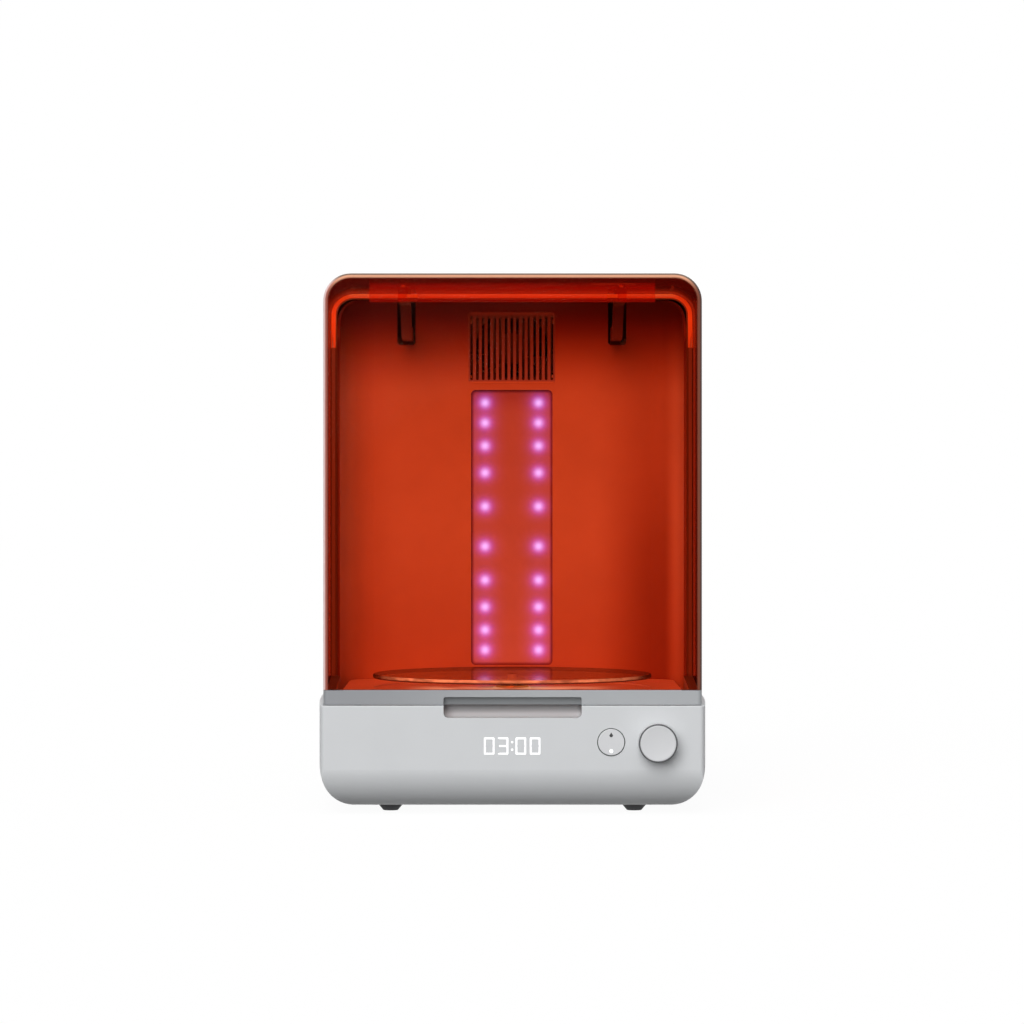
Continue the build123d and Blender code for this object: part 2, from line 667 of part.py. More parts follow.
def light_seal():
    """Foam strips on the tower's front edges, below the hinge axis."""
    strip = casing(
        TOWER_HALF_WIDTH, TOWER_FRONT - SEAL_THICK, TOWER_FRONT, BASE_TOP + 0.5, HINGE_Z - 0.5
    )
    strip -= casing(
        TOWER_HALF_WIDTH - TOWER_WALL, TOWER_FRONT - 5, TOWER_FRONT + 5, BASE_TOP - 1, HINGE_Z + 5
    )
    return strip


# ---------------------------------------------------------------- hinge
EAR_INSIDE = 6.9
EAR_THICK = 2.4
FOOT_PLATE = 2.0


def hinge_bracket(x):
    """Pressed bracket with two ears, screwed to the back of the chamber panel."""
    d0 = PANEL_DEPTH + PANEL_THICK
    foot_bottom = 310.0
    outer = EAR_INSIDE + EAR_THICK
    bracket = box(x - outer, x + outer, d0, d0 + FOOT_PLATE, foot_bottom, SLOT_BOTTOM - 6.0)
    profile = [
        (d0, foot_bottom),
        (d0 + 5.0, foot_bottom),
        (HINGE_DEPTH + 8.0, HINGE_Z - 8.0),
        (HINGE_DEPTH + 8.0, HINGE_Z + 8.0),
        (HINGE_DEPTH - 8.0, HINGE_Z + 8.0),
        (d0, SLOT_BOTTOM - 6.0),
    ]
    radii = [0.0, 2.0, 6.0, 6.0, 6.0, 0.0]
    for side in (x - outer, x + EAR_INSIDE):
        bracket += side_profile(profile, radii, side, side + EAR_THICK)
    bracket -= rod_x(HINGE_DEPTH, HINGE_Z, PIN_RADIUS, x - 20, x + 20)
    for screw_x, z in HINGE_SCREWS:
        bracket -= rod_y(screw_x, z, SCREW_HOLE, d0 - 1, d0 + 10)
    return bracket


def hinge_pins():
    """One headed pin for each bracket."""
    end = EAR_INSIDE + EAR_THICK + 1.5
    pin = rod_x(HINGE_DEPTH, HINGE_Z, PIN_RADIUS, ARM_X - end, ARM_X + end)
    pin += rod_x(HINGE_DEPTH, HINGE_Z, PIN_RADIUS + 2, ARM_X + end - 1.5, ARM_X + end)
    return both_sides(pin)


def friction_sleeves():
    """Clamping sleeves on the pins that hold the hood where it is put."""
    sleeves = Part()
    gap = 0.3
    for x in (-ARM_X, ARM_X):
        for side in (-1, 1):
            a = x + side * (ARM_WIDTH / 2 + gap)
            b = x + side * (EAR_INSIDE - 0.05)
            sleeves += rod_x(HINGE_DEPTH, HINGE_Z, 6.0, min(a, b), max(a, b))
    return sleeves - rod_x(HINGE_DEPTH, HINGE_Z, PIN_RADIUS, -200, 200)


def hinge_screws():
    screws = Part()
    for x, z in HINGE_SCREWS:
        screws += screw_forward(x, z, PANEL_DEPTH + PANEL_THICK + FOOT_PLATE, 3.2)
    return screws


# ---------------------------------------------------------------- hood
BAR_HALF_WIDTH = 104.6
BAR_DEPTH = 82.0
BAR_BOTTOM = 364.3
ARM_SCREW_DEPTHS = (91.0, 101.0)


def lid_hood():
    """Clear shell with a front, a top and two sides, cut to swing round the tower's rim."""
    outside = casing(
        HOOD_HALF_WIDTH, HOOD_FRONT, HOOD_END, BAND_TOP, HOOD_TOP, HOOD_CORNER
    )
    front = [e for e in outside.edges() if e.bounding_box().max.Y < FRONT_Y + HOOD_FRONT + 0.1]
    front = [e for e in front if e.center().Z > BAND_TOP + 1]
    outside = fillet(front, HOOD_EDGE)
    inside = casing(
        HOOD_HALF_WIDTH - HOOD_WALL,
        HOOD_FRONT + HOOD_WALL,
        HINGE_DEPTH + 5,
        BAND_TOP - 1,
        HOOD_UNDERSIDE,
        HOOD_CORNER - HOOD_WALL,
    )
    hood = outside - inside
    hood -= barrel(HINGE_RADIUS + HINGE_GAP)
    return hood - below_hinge(HOOD_REAR, 400)


def lid_frame():
    """Grey U-shaped frame along the hood's bottom edge, with the handle notch in front."""
    outside = casing(BAND_HALF_WIDTH, BAND_FRONT, HOOD_REAR, BAND_BOTTOM, BAND_TOP)
    front = [e for e in outside.edges().filter_by(Axis.Z) if e.center().Y < 0]
    outside = fillet(front, BASE_EDGE)
    frame = outside - casing(
        BAND_HALF_WIDTH - BAND_THICK, BAND_THICK, HOOD_REAR + 5, BAND_BOTTOM - 1, BAND_TOP + 1
    )
    notch = box(
        -SCOOP_HALF_WIDTH, SCOOP_HALF_WIDTH, -5, NOTCH_DEPTH, BAND_BOTTOM - 5, NOTCH_TOP
    )
    notch = fillet(notch.edges().filter_by(Axis.Y).group_by(Axis.Z)[-1], 1.6)
    return frame - notch


def hinge_crossbar():
    """Clear T-section bar bonded under the hood's top; the arms hang from it."""
    flange = box(
        -BAR_HALF_WIDTH, BAR_HALF_WIDTH, BAR_DEPTH, BAR_DEPTH + 26,
        HOOD_UNDERSIDE - FLANGE_THICK, HOOD_UNDERSIDE,
    )
    web = box(
        -BAR_HALF_WIDTH, BAR_HALF_WIDTH, BAR_DEPTH, BAR_DEPTH + 4, BAR_BOTTOM, HOOD_UNDERSIDE
    )
    bar = flange + web
    for x in (-ARM_X, ARM_X):
        for d in ARM_SCREW_DEPTHS:
            bar -= rod_z(x, d, SCREW_HOLE, 300, HOOD_UNDERSIDE - 0.6)
    return bar


def hinge_arm(x):
    """Gooseneck arm from the crossbar, down and back through its slot to the hinge pin."""
    line = FilletPolyline(
        (HINGE_DEPTH, HINGE_Z),
        (231.5, ARM_LOW_Z),
        (186.0, ARM_LOW_Z),
        (150.0, ARM_HIGH_Z),
        (BAR_DEPTH + 4.0, ARM_HIGH_Z),
        radius=[6.0, 20.0, 20.0],
    )
    blade = trace(line, ARM_HEIGHT) + Pos(HINGE_DEPTH, HINGE_Z) * Circle(ARM_BOSS)
    arm = extrude(Plane.YZ.offset(x - ARM_WIDTH / 2) * Pos(FRONT_Y, 0) * blade, ARM_WIDTH)
    arm &= box(-200, 200, BAR_DEPTH + 4, 400, 0, HOOD_UNDERSIDE - FLANGE_THICK)
    arm -= rod_x(HINGE_DEPTH, HINGE_Z, PIN_RADIUS + PIN_FIT, x - 10, x + 10)
    for d in ARM_SCREW_DEPTHS:
        arm -= rod_z(x, d, SCREW_HOLE, 300, 400)
        arm -= rod_z(x, d, 3.0, 300, ARM_HIGH_Z - ARM_HEIGHT / 2 + 2.2)
    return arm


def arm_screws():
    screws = Part()
    for x in (-ARM_X, ARM_X):
        for d in ARM_SCREW_DEPTHS:
            screws += screw_up(x, d, ARM_HIGH_Z - ARM_HEIGHT / 2 + 2.2, 9.4)
    return screws


def lid_bumpers():
    """Small pads under the frame that the closed hood rests on."""
    pad = rod_z(-110, 5.0, 2.5, BASE_TOP, BAND_BOTTOM)
    pad += rod_z(-134.0, 150.0, 2.5, BASE_TOP, BAND_BOTTOM)
    return both_sides(pad)


# ---------------------------------------------------------------- controls
KNOB_STEP = 1.4


def mode_button():
    """Round cap with a skirt and a stem that reaches the push switch."""
    cap = rod_y(BUTTON_X, CONTROL_Z, BUTTON_RADIUS, -0.5, 2.2)
    cap = fillet(cap.edges().group_by(Axis.Y)[0], 0.5)
    cap += rod_y(BUTTON_X, CONTROL_Z, BUTTON_RADIUS - 0.6, 2.0, 5.0)
    cap -= rod_y(BUTTON_X, CONTROL_Z, BUTTON_RADIUS - 1.8, 1.6, 6.0)
    return cap + rod_y(BUTTON_X, CONTROL_Z, 2.0, 1.0, 9.0)


def control_board():
    """Board behind the front wall, on three moulded posts."""
    board = box(-34, 122, BOARD_FRONT, BOARD_FRONT + 1.6, 25.0, 60.0)
    for x in BOARD_POSTS:
        board -= rod_y(x, BOARD_POST_Z, 1.6, 10, 20)
    return board


def button_switch():
    body = box(BUTTON_X - 3, BUTTON_X + 3, 12.2, 16.0, CONTROL_Z - 3, CONTROL_Z + 3)
    return body + rod_y(BUTTON_X, CONTROL_Z, 1.7, 10.3, 12.2)


def display_module():
    """Four-digit module that shines through the thin front wall."""
    case = box(-23.5, 22.5, 4.0, 14.0, 36.0, 55.0)
    case += box(-25.5, 24.5, 12.0, 16.0, 35.0, 56.0)
    return case


def knob():
    """Hollow turned knob with a softly dished face, on a stem that grips the shaft."""
    front = -KNOB_PROUD
    body = rod_y(KNOB_X, CONTROL_Z, KNOB_RADIUS, front + KNOB_STEP, -1.6)
    body += rod_y(KNOB_X, CONTROL_Z, KNOB_RADIUS - KNOB_RING, front, front + KNOB_STEP)
    body = fillet(body.edges().group_by(Axis.Y)[0], 0.5)
    body -= rod_y(KNOB_X, CONTROL_Z, KNOB_RADIUS - 1.8, front + 2.4, 0)
    dish = Pos(KNOB_X, FRONT_Y + front - 159.5, CONTROL_Z) * Sphere(160.0)
    body -= dish & rod_y(KNOB_X, CONTROL_Z, KNOB_RADIUS - 2.2, front - 1, front + 1)
    body += rod_y(KNOB_X, CONTROL_Z, 5.2, front + 2.0, -2.0)
    return body - rod_y(KNOB_X, CONTROL_Z, 3.02, front + 3.0, 0)


def knob_ring():
    """Dark trim ring round the knob's face."""
    back = -KNOB_PROUD + KNOB_STEP
    ring = rod_y(KNOB_X, CONTROL_Z, KNOB_RADIUS, back - 1.2, back)
    ring = fillet(ring.edges().group_by(Axis.Y)[0], 0.5)
    return ring - rod_y(KNOB_X, CONTROL_Z, KNOB_RADIUS - KNOB_RING, back - 2, back + 1)


def encoder_shaft():
    return rod_y(KNOB_X, CONTROL_Z, 3.0, -KNOB_PROUD + 3.0, 14.4)


def encoder_slider():
    """Push ring inside the encoder; the shaft turns in it and both move in together."""
    ring = rod_y(KNOB_X, CONTROL_Z, 5.0, 12.6, 14.2)
    return ring - rod_y(KNOB_X, CONTROL_Z, 3.0 + PIN_FIT, 10, 20)


def encoder_body():
    """Square can with a threaded nose behind the front wall."""
    can = box(KNOB_X - 7, KNOB_X + 7, 9.0, 16.0, CONTROL_Z - 7, CONTROL_Z + 7)
    can += rod_y(KNOB_X, CONTROL_Z, 4.6, BASE_WALL, 9.0)
    can -= rod_y(KNOB_X, CONTROL_Z, 3.0 + 2 * PIN_FIT, 0, 12)
    can -= rod_y(KNOB_X, CONTROL_Z, 5.3, 11.6, 15.5)
    return can


# ---------------------------------------------------------------- hood switch
def hood_switch():
    """Microswitch under the deck; its plunger rises when the hood opens."""
    case = box(LATCH_X - 10.0, LATCH_X + 2.0, 54.0, 66.0, 56.0, BASE_TOP - BASE_WALL)
    return case - rod_z(LATCH_X, LATCH_DEPTH, PLUNGER_RADIUS + 0.35, 62.0, 80.0)


def switch_plunger():
    pin = rod_z(LATCH_X, LATCH_DEPTH, PLUNGER_RADIUS, 64.0, PLUNGER_TOP)
    return fillet(pin.edges().group_by(Axis.Z)[-1], 0.5)


# ---------------------------------------------------------------- power
ROCKER_DEPTH = BODY_DEPTH - 5.0
ROCKER_PIN = 1.0
ROCKER_TILT = 9.0


def collar(x, half_x, half_z):
    """Flange that seats against the inside of the rear wall."""
    d1 = BODY_DEPTH - BASE_WALL
    low = REAR_PORT_Z - half_z - 1.6
    high = REAR_PORT_Z + half_z + 1.6
    return box(x - half_x - 1.6, x + half_x + 1.6, d1 - 1.8, d1, low, high)


def power_inlet():
    """Three-pin mains inlet in the base's rear wall."""
    half_x = INLET_SIZE[0] / 2
    half_z = INLET_SIZE[1] / 2
    back = BODY_DEPTH
    body = box(
        INLET_X - half_x, INLET_X + half_x, back - 22, back - 0.1,
        REAR_PORT_Z - half_z, REAR_PORT_Z + half_z,
    )
    body += collar(INLET_X, half_x, half_z)
    mouth = Pos(INLET_X, REAR_PORT_Z) * Polygon(
        (-11.5, -7.6), (11.5, -7.6), (11.5, 3.6), (7.5, 7.6), (-7.5, 7.6), (-11.5, 3.6),
        align=None,
    )
    body -= extrude(Plane.XZ.offset(-(FRONT_Y + back + 1)) * mouth, 17.0)
    return body


def inlet_pins():
    """The inlet's three flat pins."""
    back = BODY_DEPTH
    pins = Part()
    for dx, dz in ((-7.0, 0.5), (7.0, 0.5), (0.0, 4.0)):
        x = INLET_X + dx
        z = REAR_PORT_Z + dz
        pins += box(x - 1.0, x + 1.0, back - 16.0, back - 3.0, z - 2.0, z + 2.0)
    return pins


def switch_frame():
    """Bezel of the power switch."""
    half_x = SWITCH_SIZE[0] / 2
    half_z = SWITCH_SIZE[1] / 2
    back = BODY_DEPTH - 0.1
    frame = box(
        SWITCH_X - half_x, SWITCH_X + half_x, back - 16, back,
        REAR_PORT_Z - half_z, REAR_PORT_Z + half_z,
    )
    frame += collar(SWITCH_X, half_x, half_z)
    frame -= box(
        SWITCH_X - half_x + 1.6, SWITCH_X + half_x - 1.6, back - 12, back + 1,
        REAR_PORT_Z - half_z + 1.4, REAR_PORT_Z + half_z - 1.4,
    )
    hole = rod_z(SWITCH_X, ROCKER_DEPTH, ROCKER_PIN + PIN_FIT, REAR_PORT_Z - half_z + 0.6, 60)
    return frame - (hole & box(-200, 0, 0, 300, 0, REAR_PORT_Z + half_z - 0.6))


def rocker():
    """Power rocker on its own stub pins, tilted to one side."""
    half_z = SWITCH_SIZE[1] / 2 - 1.4 - 0.35
    outline = Polygon((-7.0, 2.6), (0.0, 1.2), (7.0, 2.6), (6.2, -2.2), (-6.2, -2.2), align=None)
    key = extrude(outline, half_z, both=True)
    key += Cylinder(ROCKER_PIN, 2 * (half_z + 1.0))
    return Pos(SWITCH_X, FRONT_Y + ROCKER_DEPTH, REAR_PORT_Z) * Rot(0, 0, ROCKER_TILT) * key


def power_board():
    """Supply board on the base's rear floor, with its transformer and two capacitors."""
    board = box(-90, 10, 196, 250, 16.0, 17.6)
    board += box(-60, -30, 206, 232, 17.6, 40)
    for x in (-16.0, -2.0):
        board += rod_z(x - 3, 222, 6.0, 17.6, 38)
    return board


def board_posts():
    """Posts of the bottom plate that carry the supply board."""
    posts = Part()
    for x in (-86.0, 6.0):
        for d in (200.0, 246.0):
            posts += rod_z(x, d, 3.0, BASE_BOTTOM + PLATE_THICK, 16.0)
    return posts


def equipment_frame():
    """Sheet frame behind the panel that carries the heat sinks, heater and fan."""
    d0 = PANEL_DEPTH + PANEL_THICK
    side = box(FRAME_X, FRAME_X + 1.5, d0, SINK_BACK + 1.5, WINDOW_BOTTOM - 2, FAN_Z + FAN_HALF)
    side += box(FRAME_X, FRAME_X + 9.0, d0, d0 + 1.5, WINDOW_BOTTOM - 2, FAN_Z - FAN_HALF)
    back = FAN_FRONT + FAN_THICK
    for z in (FAN_Z - 25.0, FAN_Z + 25.0):
        tab = box(20.0, FRAME_X + 1, back, back + 1.5, z - 5, z + 5)
        side += tab - rod_y(25.0, z, 2.1, back - 1, back + 3)
    frame = both_sides(side)
    for z in (LED_MID_Z - 80.0, LED_MID_Z + 80.0):
        frame += box(-FRAME_X - 1, FRAME_X + 1, SINK_BACK, SINK_BACK + 1.5, z - 7, z + 7)
    return frame


def temperature_sensor():
    """Bead sensor on a clip beside the grille."""
    d0 = PANEL_DEPTH + PANEL_THICK
    clip = box(44, 52, d0, d0 + 2.0, 326, 340)
    return clip + rod_y(48, 333, 2.4, d0 + 2.0, d0 + 6.0)


# ---------------------------------------------------------------- write the nodes
NODES = {
    "base_shell": base_shell,
    "base_plate": base_plate,
    "rubber_feet": rubber_feet,
    "base_screws": base_screws,
    "turntable_motor": turntable_motor,
    "motor_bracket": motor_bracket,
    "bracket_screws": bracket_screws,
    "spindle_bush": spindle_bush,
    "drive_spindle": drive_spindle,
    "drive_hub": drive_hub,
    "glass_turntable": glass_turntable,
    "chamber_floor": chamber_floor,
    "chamber_back_panel": chamber_back_panel,
    "vent_grille": vent_grille,
    "led_window": led_window,
    "led_board_left": lambda: led_board(-LED_X),
    "led_board_right": lambda: led_board(LED_X),
    "leds_left": lambda: leds(-LED_X),
    "leds_right": lambda: leds(LED_X),
    "heat_sink_left": lambda: heat_sink(-LED_X),
    "heat_sink_right": lambda: heat_sink(LED_X),
    "fan_frame": fan_frame,
    "fan_rotor": fan_rotor,
    "heater_element": heater_element,
    "tower_shell": tower_shell,
    "rear_cover": rear_cover,
    "cover_screws": cover_screws,
    "vent_filters": vent_filters,
    "light_seal": light_seal,
    "hinge_bracket_left": lambda: hinge_bracket(-ARM_X),
    "hinge_bracket_right": lambda: hinge_bracket(ARM_X),
    "hinge_pins": hinge_pins,
    "friction_sleeves": friction_sleeves,
    "hinge_screws": hinge_screws,
    "lid_hood": lid_hood,
    "lid_frame": lid_frame,
    "hinge_crossbar": hinge_crossbar,
    "hinge_arm_left": lambda: hinge_arm(-ARM_X),
    "hinge_arm_right": lambda: hinge_arm(ARM_X),
    "arm_screws": arm_screws,
    "lid_bumpers": lid_bumpers,
    "mode_button": mode_button,
    "control_board": control_board,
    "button_switch": button_switch,
    "display_module": display_module,
    "knob": knob,
    "knob_ring": knob_ring,
    "encoder_shaft": encoder_shaft,
    "encoder_slider": encoder_slider,
    "encoder_body": encoder_body,
    "hood_switch": hood_switch,
    "switch_plunger": switch_plunger,
    "power_inlet": power_inlet,
    "inlet_pins": inlet_pins,
    "switch_frame": switch_frame,
    "rocker": rocker,
    "power_board": power_board,
    "board_posts": board_posts,
    "equipment_frame": equipment_frame,
    "temperature_sensor": temperature_sensor,
}

os.makedirs("parts", exist_ok=True)
for name, build in NODES.items():
    export_step(Pos(0, 0, FOOT_DROP) * build(), f"parts/{name}.step")
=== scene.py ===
import json
import math

import bmesh
import bpy
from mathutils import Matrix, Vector


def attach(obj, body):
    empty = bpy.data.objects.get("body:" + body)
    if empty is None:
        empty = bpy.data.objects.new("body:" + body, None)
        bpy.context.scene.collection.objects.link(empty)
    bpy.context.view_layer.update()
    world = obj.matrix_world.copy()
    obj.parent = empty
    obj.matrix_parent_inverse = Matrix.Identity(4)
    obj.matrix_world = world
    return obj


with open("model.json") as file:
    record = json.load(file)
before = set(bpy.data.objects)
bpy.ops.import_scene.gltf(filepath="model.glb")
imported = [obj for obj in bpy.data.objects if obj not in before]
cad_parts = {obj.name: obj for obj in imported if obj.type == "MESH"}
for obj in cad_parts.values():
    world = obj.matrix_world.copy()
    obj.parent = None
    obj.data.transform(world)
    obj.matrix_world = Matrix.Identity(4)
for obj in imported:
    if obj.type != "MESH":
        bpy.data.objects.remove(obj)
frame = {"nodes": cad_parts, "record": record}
bpy.context.scene.view_settings.view_transform = "Standard"
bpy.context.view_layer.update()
NODES = frame["nodes"]
SLOT_OF = {part["node"]: part["material_slot"] for part in frame["record"]["subparts"]}

# ---------------------------------------------------------------- camera, light, backdrop
SENSOR_WIDTH = 36.0  # millimetres, as is the lens
LENS = 126.5
CAMERA_DISTANCE = 2.55  # in front of the base's front face
CAMERA_X = -0.0068
CAMERA_Z = 0.2306
CAMERA_SHIFT = (0.0088, -0.0215)
CAMERA_REACH = 50.0
# name, azimuth, elevation, strength and spread, with the angles in degrees
SUNS = (("front", 14, 20, 2.05, 45), ("above", 14, 62, 0.8, 50))
WORLD_LEVEL = 0.3
FLOOR_HALF = 14.0
FLOOR_COLOR = (0.06, 0.06, 0.06, 1)
FLOOR_WHITE = 0.955
WHITE = (1, 1, 1, 1)

# ---------------------------------------------------------------- places, in metres
FRONT_Y = -0.136  # the base's front face; depths are measured back from it
HINGE_DEPTH = 0.2415
HINGE_Y = FRONT_Y + HINGE_DEPTH
HINGE_Z = 0.3398
TABLE_Y = FRONT_Y + 0.115
FLARE = 0.03  # the tower and the hood widen on each side by this share of the depth
TOWER_HALF_WIDTH = 0.1316  # at the front plane
TOWER_TOP = 0.3817
TOWER_CORNER = 0.0169
TOWER_OUTLINE = (TOWER_HALF_WIDTH, TOWER_TOP, TOWER_CORNER)
HOOD_HALF_WIDTH = 0.1342  # at the front plane
HOOD_OUTLINE = (HOOD_HALF_WIDTH, 0.3843, 0.0195)
BARREL_RADIUS = 0.0419  # the tower's hollow front, round the hinge
SLOT_X = 0.08  # the middle of the slot that a hinge arm leaves the tower by
SLOT_HALF = 0.0062
NOTCH_HALF_WIDTH = 0.0492  # the handle notch in the frame, and the scoop below it
WINDOW_HALF_WIDTH = 0.0314
WINDOW_LOW = 0.0955
WINDOW_HIGH = 0.3078
LED_X = 0.02065
LED_MID_Z = 0.2025
LED_GAPS = (0.0308, 0.026, 0.0208, 0.0177, 0.0155)  # from the middle pair outwards
GRILLE_LOW = 0.3150
GRILLE_HIGH = 0.3653
GRILLE_FADE = 0.0012
RIM_LIT_Z = 0.339  # the hood's light reaches the tower's rim above this height


# ---------------------------------------------------------------- shader nodes
def new_material(name):
    mat = bpy.data.materials.new(name)
    mat.use_nodes = True
    return mat, mat.node_tree


def principled(mat):
    return mat.node_tree.nodes["Principled BSDF"]


def feed(tree, node, inputs):
    """Gives a node's inputs their values, each one a constant or a socket."""
    for name, value in inputs.items():
        if isinstance(value, bpy.types.NodeSocket):
            tree.links.new(value, node.inputs[name])
        else:
            node.inputs[name].default_value = value


def new_node(tree, kind, inputs):
    node = tree.nodes.new(kind)
    feed(tree, node, inputs)
    return node


def math_node(tree, operation, *values):
    node = tree.nodes.new("ShaderNodeMath")
    node.operation = operation
    feed(tree, node, dict(enumerate(values)))
    return node.outputs[0]


def fold(tree, operation, values):
    """Takes two or more values together, one after another."""
    total = values[0]
    for value in values[1:]:
        total = math_node(tree, operation, total, value)
    return total


def product(tree, *values):
    return fold(tree, "MULTIPLY", values)


def inverse(tree, value, gain=1.0):
    """One minus gain times the value."""
    return math_node(tree, "MULTIPLY_ADD", value, -gain, 1.0)


def size_of(tree, value):
    return math_node(tree, "ABSOLUTE", value)


def above(tree, value, limit):
    return math_node(tree, "GREATER_THAN", value, limit)


def below(tree, value, limit):
    return math_node(tree, "LESS_THAN", value, limit)


def between(tree, value, low, high):
    return product(tree, above(tree, value, low), below(tree, value, high))


def length_of(tree, *parts):
    """The length of a vector, from its parts."""
    squares = [product(tree, part, part) for part in parts]
    return math_node(tree, "SQRT", fold(tree, "ADD", squares))


def ramp(tree, value, start, end, low=0.0, high=1.0, kind="LINEAR"):
    node = tree.nodes.new("ShaderNodeMapRange")
    node.interpolation_type = kind
    feed(tree, node, {
        "Value": value, "From Min": start, "From Max": end, "To Min": low, "To Max": high,
    })
    return node.outputs["Result"]


def smooth_step(tree, value, start, end):
    return ramp(tree, value, start, end, kind="SMOOTHSTEP")


def noise(tree, size, detail=2.0, stretch=None):
    """Noise in the object's own space, with features about size metres across."""
    vector = tree.nodes.new("ShaderNodeTexCoord").outputs["Object"]
    if stretch:
        mapping = new_node(tree, "ShaderNodeMapping", {"Vector": vector, "Scale": stretch})
        vector = mapping.outputs["Vector"]
    inputs = {"Vector": vector, "Scale": 1.0 / size, "Detail": detail}
    return new_node(tree, "ShaderNodeTexNoise", inputs).outputs["Fac"]


def spread(tree, fac, low, high):
    """Noise, nearly all of which is from 0.3 to 0.7, taken to a range of its own."""
    return ramp(tree, fac, 0.3, 0.7, low, high)


def components(tree, output="Object"):
    """The x, y and z of a point, or of the surface's direction, in the object's own space."""
    vector = tree.nodes.new("ShaderNodeTexCoord").outputs[output]
    parts = new_node(tree, "ShaderNodeSeparateXYZ", {"Vector": vector})
    return parts.outputs["X"], parts.outputs["Y"], parts.outputs["Z"]


def blend(tree, factor, first, second, kind="MIX"):
    """A mix of two colours. Each value is a constant or a socket."""
    node = tree.nodes.new("ShaderNodeMix")
    node.data_type = "RGBA"
    node.blend_type = kind
    feed(tree, node, {"Factor": factor, "A": first, "B": second})
    return node.outputs["Result"]


def combined_color(tree, channels):
    inputs = dict(zip(("Red", "Green", "Blue"), channels))
    return new_node(tree, "ShaderNodeCombineColor", inputs).outputs["Color"]


def mix_shaders(tree, factor, first, second):
    node = new_node(tree, "ShaderNodeMixShader", {0: factor, 1: first, 2: second})
    return node.outputs["Shader"]


def surface_socket(tree):
    return tree.nodes["Material Output"].inputs["Surface"]


def overlay(tree, factor, shader):
    """Mixes a shader over what the material shows so far."""
    output = surface_socket(tree)
    plain = output.links[0].from_socket
    tree.links.new(mix_shaders(tree, factor, plain, shader), output)


def seen_directly(tree):
    """1 for camera, glossy and transmission rays, else 0."""
    path = tree.nodes.new("ShaderNodeLightPath")
    rays = ("Is Camera Ray", "Is Glossy Ray", "Is Transmission Ray")
    return fold(tree, "MAXIMUM", [path.outputs[ray] for ray in rays])


# ---------------------------------------------------------------- stage
def link_object(name, data):
    thing = bpy.data.objects.new(name, data)
    bpy.context.scene.collection.objects.link(thing)
    return thing


def add_camera():
    data = bpy.data.cameras.new("camera")
    data.sensor_width = SENSOR_WIDTH
    data.lens = LENS
    data.shift_x, data.shift_y = CAMERA_SHIFT
    data.clip_end = CAMERA_REACH
    camera = link_object("camera", data)
    camera.location = (CAMERA_X, FRONT_Y - CAMERA_DISTANCE, CAMERA_Z)
    camera.rotation_euler = (math.radians(90), 0, 0)
    bpy.context.scene.camera = camera


def add_sun(name, azimuth, elevation, strength, spread_angle):
    """A broad distant light. Azimuth 0 shines from the front, and a positive one from the left."""
    data = bpy.data.lights.new(name, "SUN")
    data.energy = strength
    data.angle = math.radians(spread_angle)
    a, e = math.radians(azimuth), math.radians(elevation)
    source = Vector((-math.sin(a) * math.cos(e), -math.cos(a) * math.cos(e), math.sin(e)))
    link_object(name, data).rotation_euler = source.to_track_quat("Z", "Y").to_euler()


def add_world():
    world = bpy.data.worlds.new("world")
    bpy.context.scene.world = world
    world.use_nodes = True
    tree = world.node_tree
    mix = tree.nodes.new("ShaderNodeMix")
    mix.data_type = "FLOAT"
    feed(tree, mix, {"Factor": seen_directly(tree), "A": WORLD_LEVEL, "B": 1.0})
    feed(tree, tree.nodes["Background"], {"Color": WHITE, "Strength": mix.outputs["Result"]})


def add_floor():
    signs = ((-1, -1), (1, -1), (1, 1), (-1, 1))
    mesh = bpy.data.meshes.new("floor")
    mesh.from_pydata([(x * FLOOR_HALF, y * FLOOR_HALF, 0) for x, y in signs], [], [(0, 1, 2, 3)])
    mat, tree = new_material("floor_white")
    feed(tree, principled(mat), {
        "Base Color": FLOOR_COLOR, "Roughness": 0.9, "Specular IOR Level": 0.0,
        "Emission Color": WHITE,
        "Emission Strength": product(tree, seen_directly(tree), FLOOR_WHITE),
    })
    mesh.materials.append(mat)
    link_object("floor", mesh)


# ---------------------------------------------------------------- parts of materials
MOTTLE_SIZE = 0.03
GLOSS_WANDER = 0.05
DIM_POWERS = (1.0, 1.8, 2.2)  # red, green and blue
TOP_DIM_Z = (0.300, 0.372)  # the chamber grows dark from one height to the other


def linear(red, green, blue):
    """The colour that looks on a screen like the one given, from 0 to 255."""
    def one(value):
        value /= 255.0
        return value / 12.92 if value <= 0.04045 else ((value + 0.055) / 1.055) ** 2.4

    return (one(red), one(green), one(blue), 1.0)


def shade(color, factor):
    return (color[0] * factor, color[1] * factor, color[2] * factor, 1.0)


def surface(
    name, color, rough, metal=0.0, grain=0.0004, bump=0.05, mottle=0.03, stretch=None, specular=0.5
):
    """A principled material with fine grain, faint mottling and uneven gloss."""
    mat, tree = new_material(name)
    cloud = spread(tree, noise(tree, MOTTLE_SIZE, 4.0), 0.0, 1.0)
    fine = noise(tree, grain, 3.0, stretch)
    relief = new_node(tree, "ShaderNodeBump", {
        "Strength": bump, "Distance": grain * 0.5, "Height": fine,
    })
    feed(tree, principled(mat), {
        "Base Color": blend(tree, cloud, shade(color, 1 - mottle), shade(color, 1 + mottle)),
        "Roughness": spread(tree, fine, rough - GLOSS_WANDER, rough + GLOSS_WANDER),
        "Metallic": metal,
        "Specular IOR Level": specular,
        "Normal": relief.outputs["Normal"],
    })
    return mat


def recolor(mat, factor, color, kind="MIX"):
    """Blends the material's base colour towards another by a factor."""
    tree = mat.node_tree
    socket = principled(mat).inputs["Base Color"]
    plain = socket.links[0].from_socket
    tree.links.new(blend(tree, factor, plain, color, kind), socket)


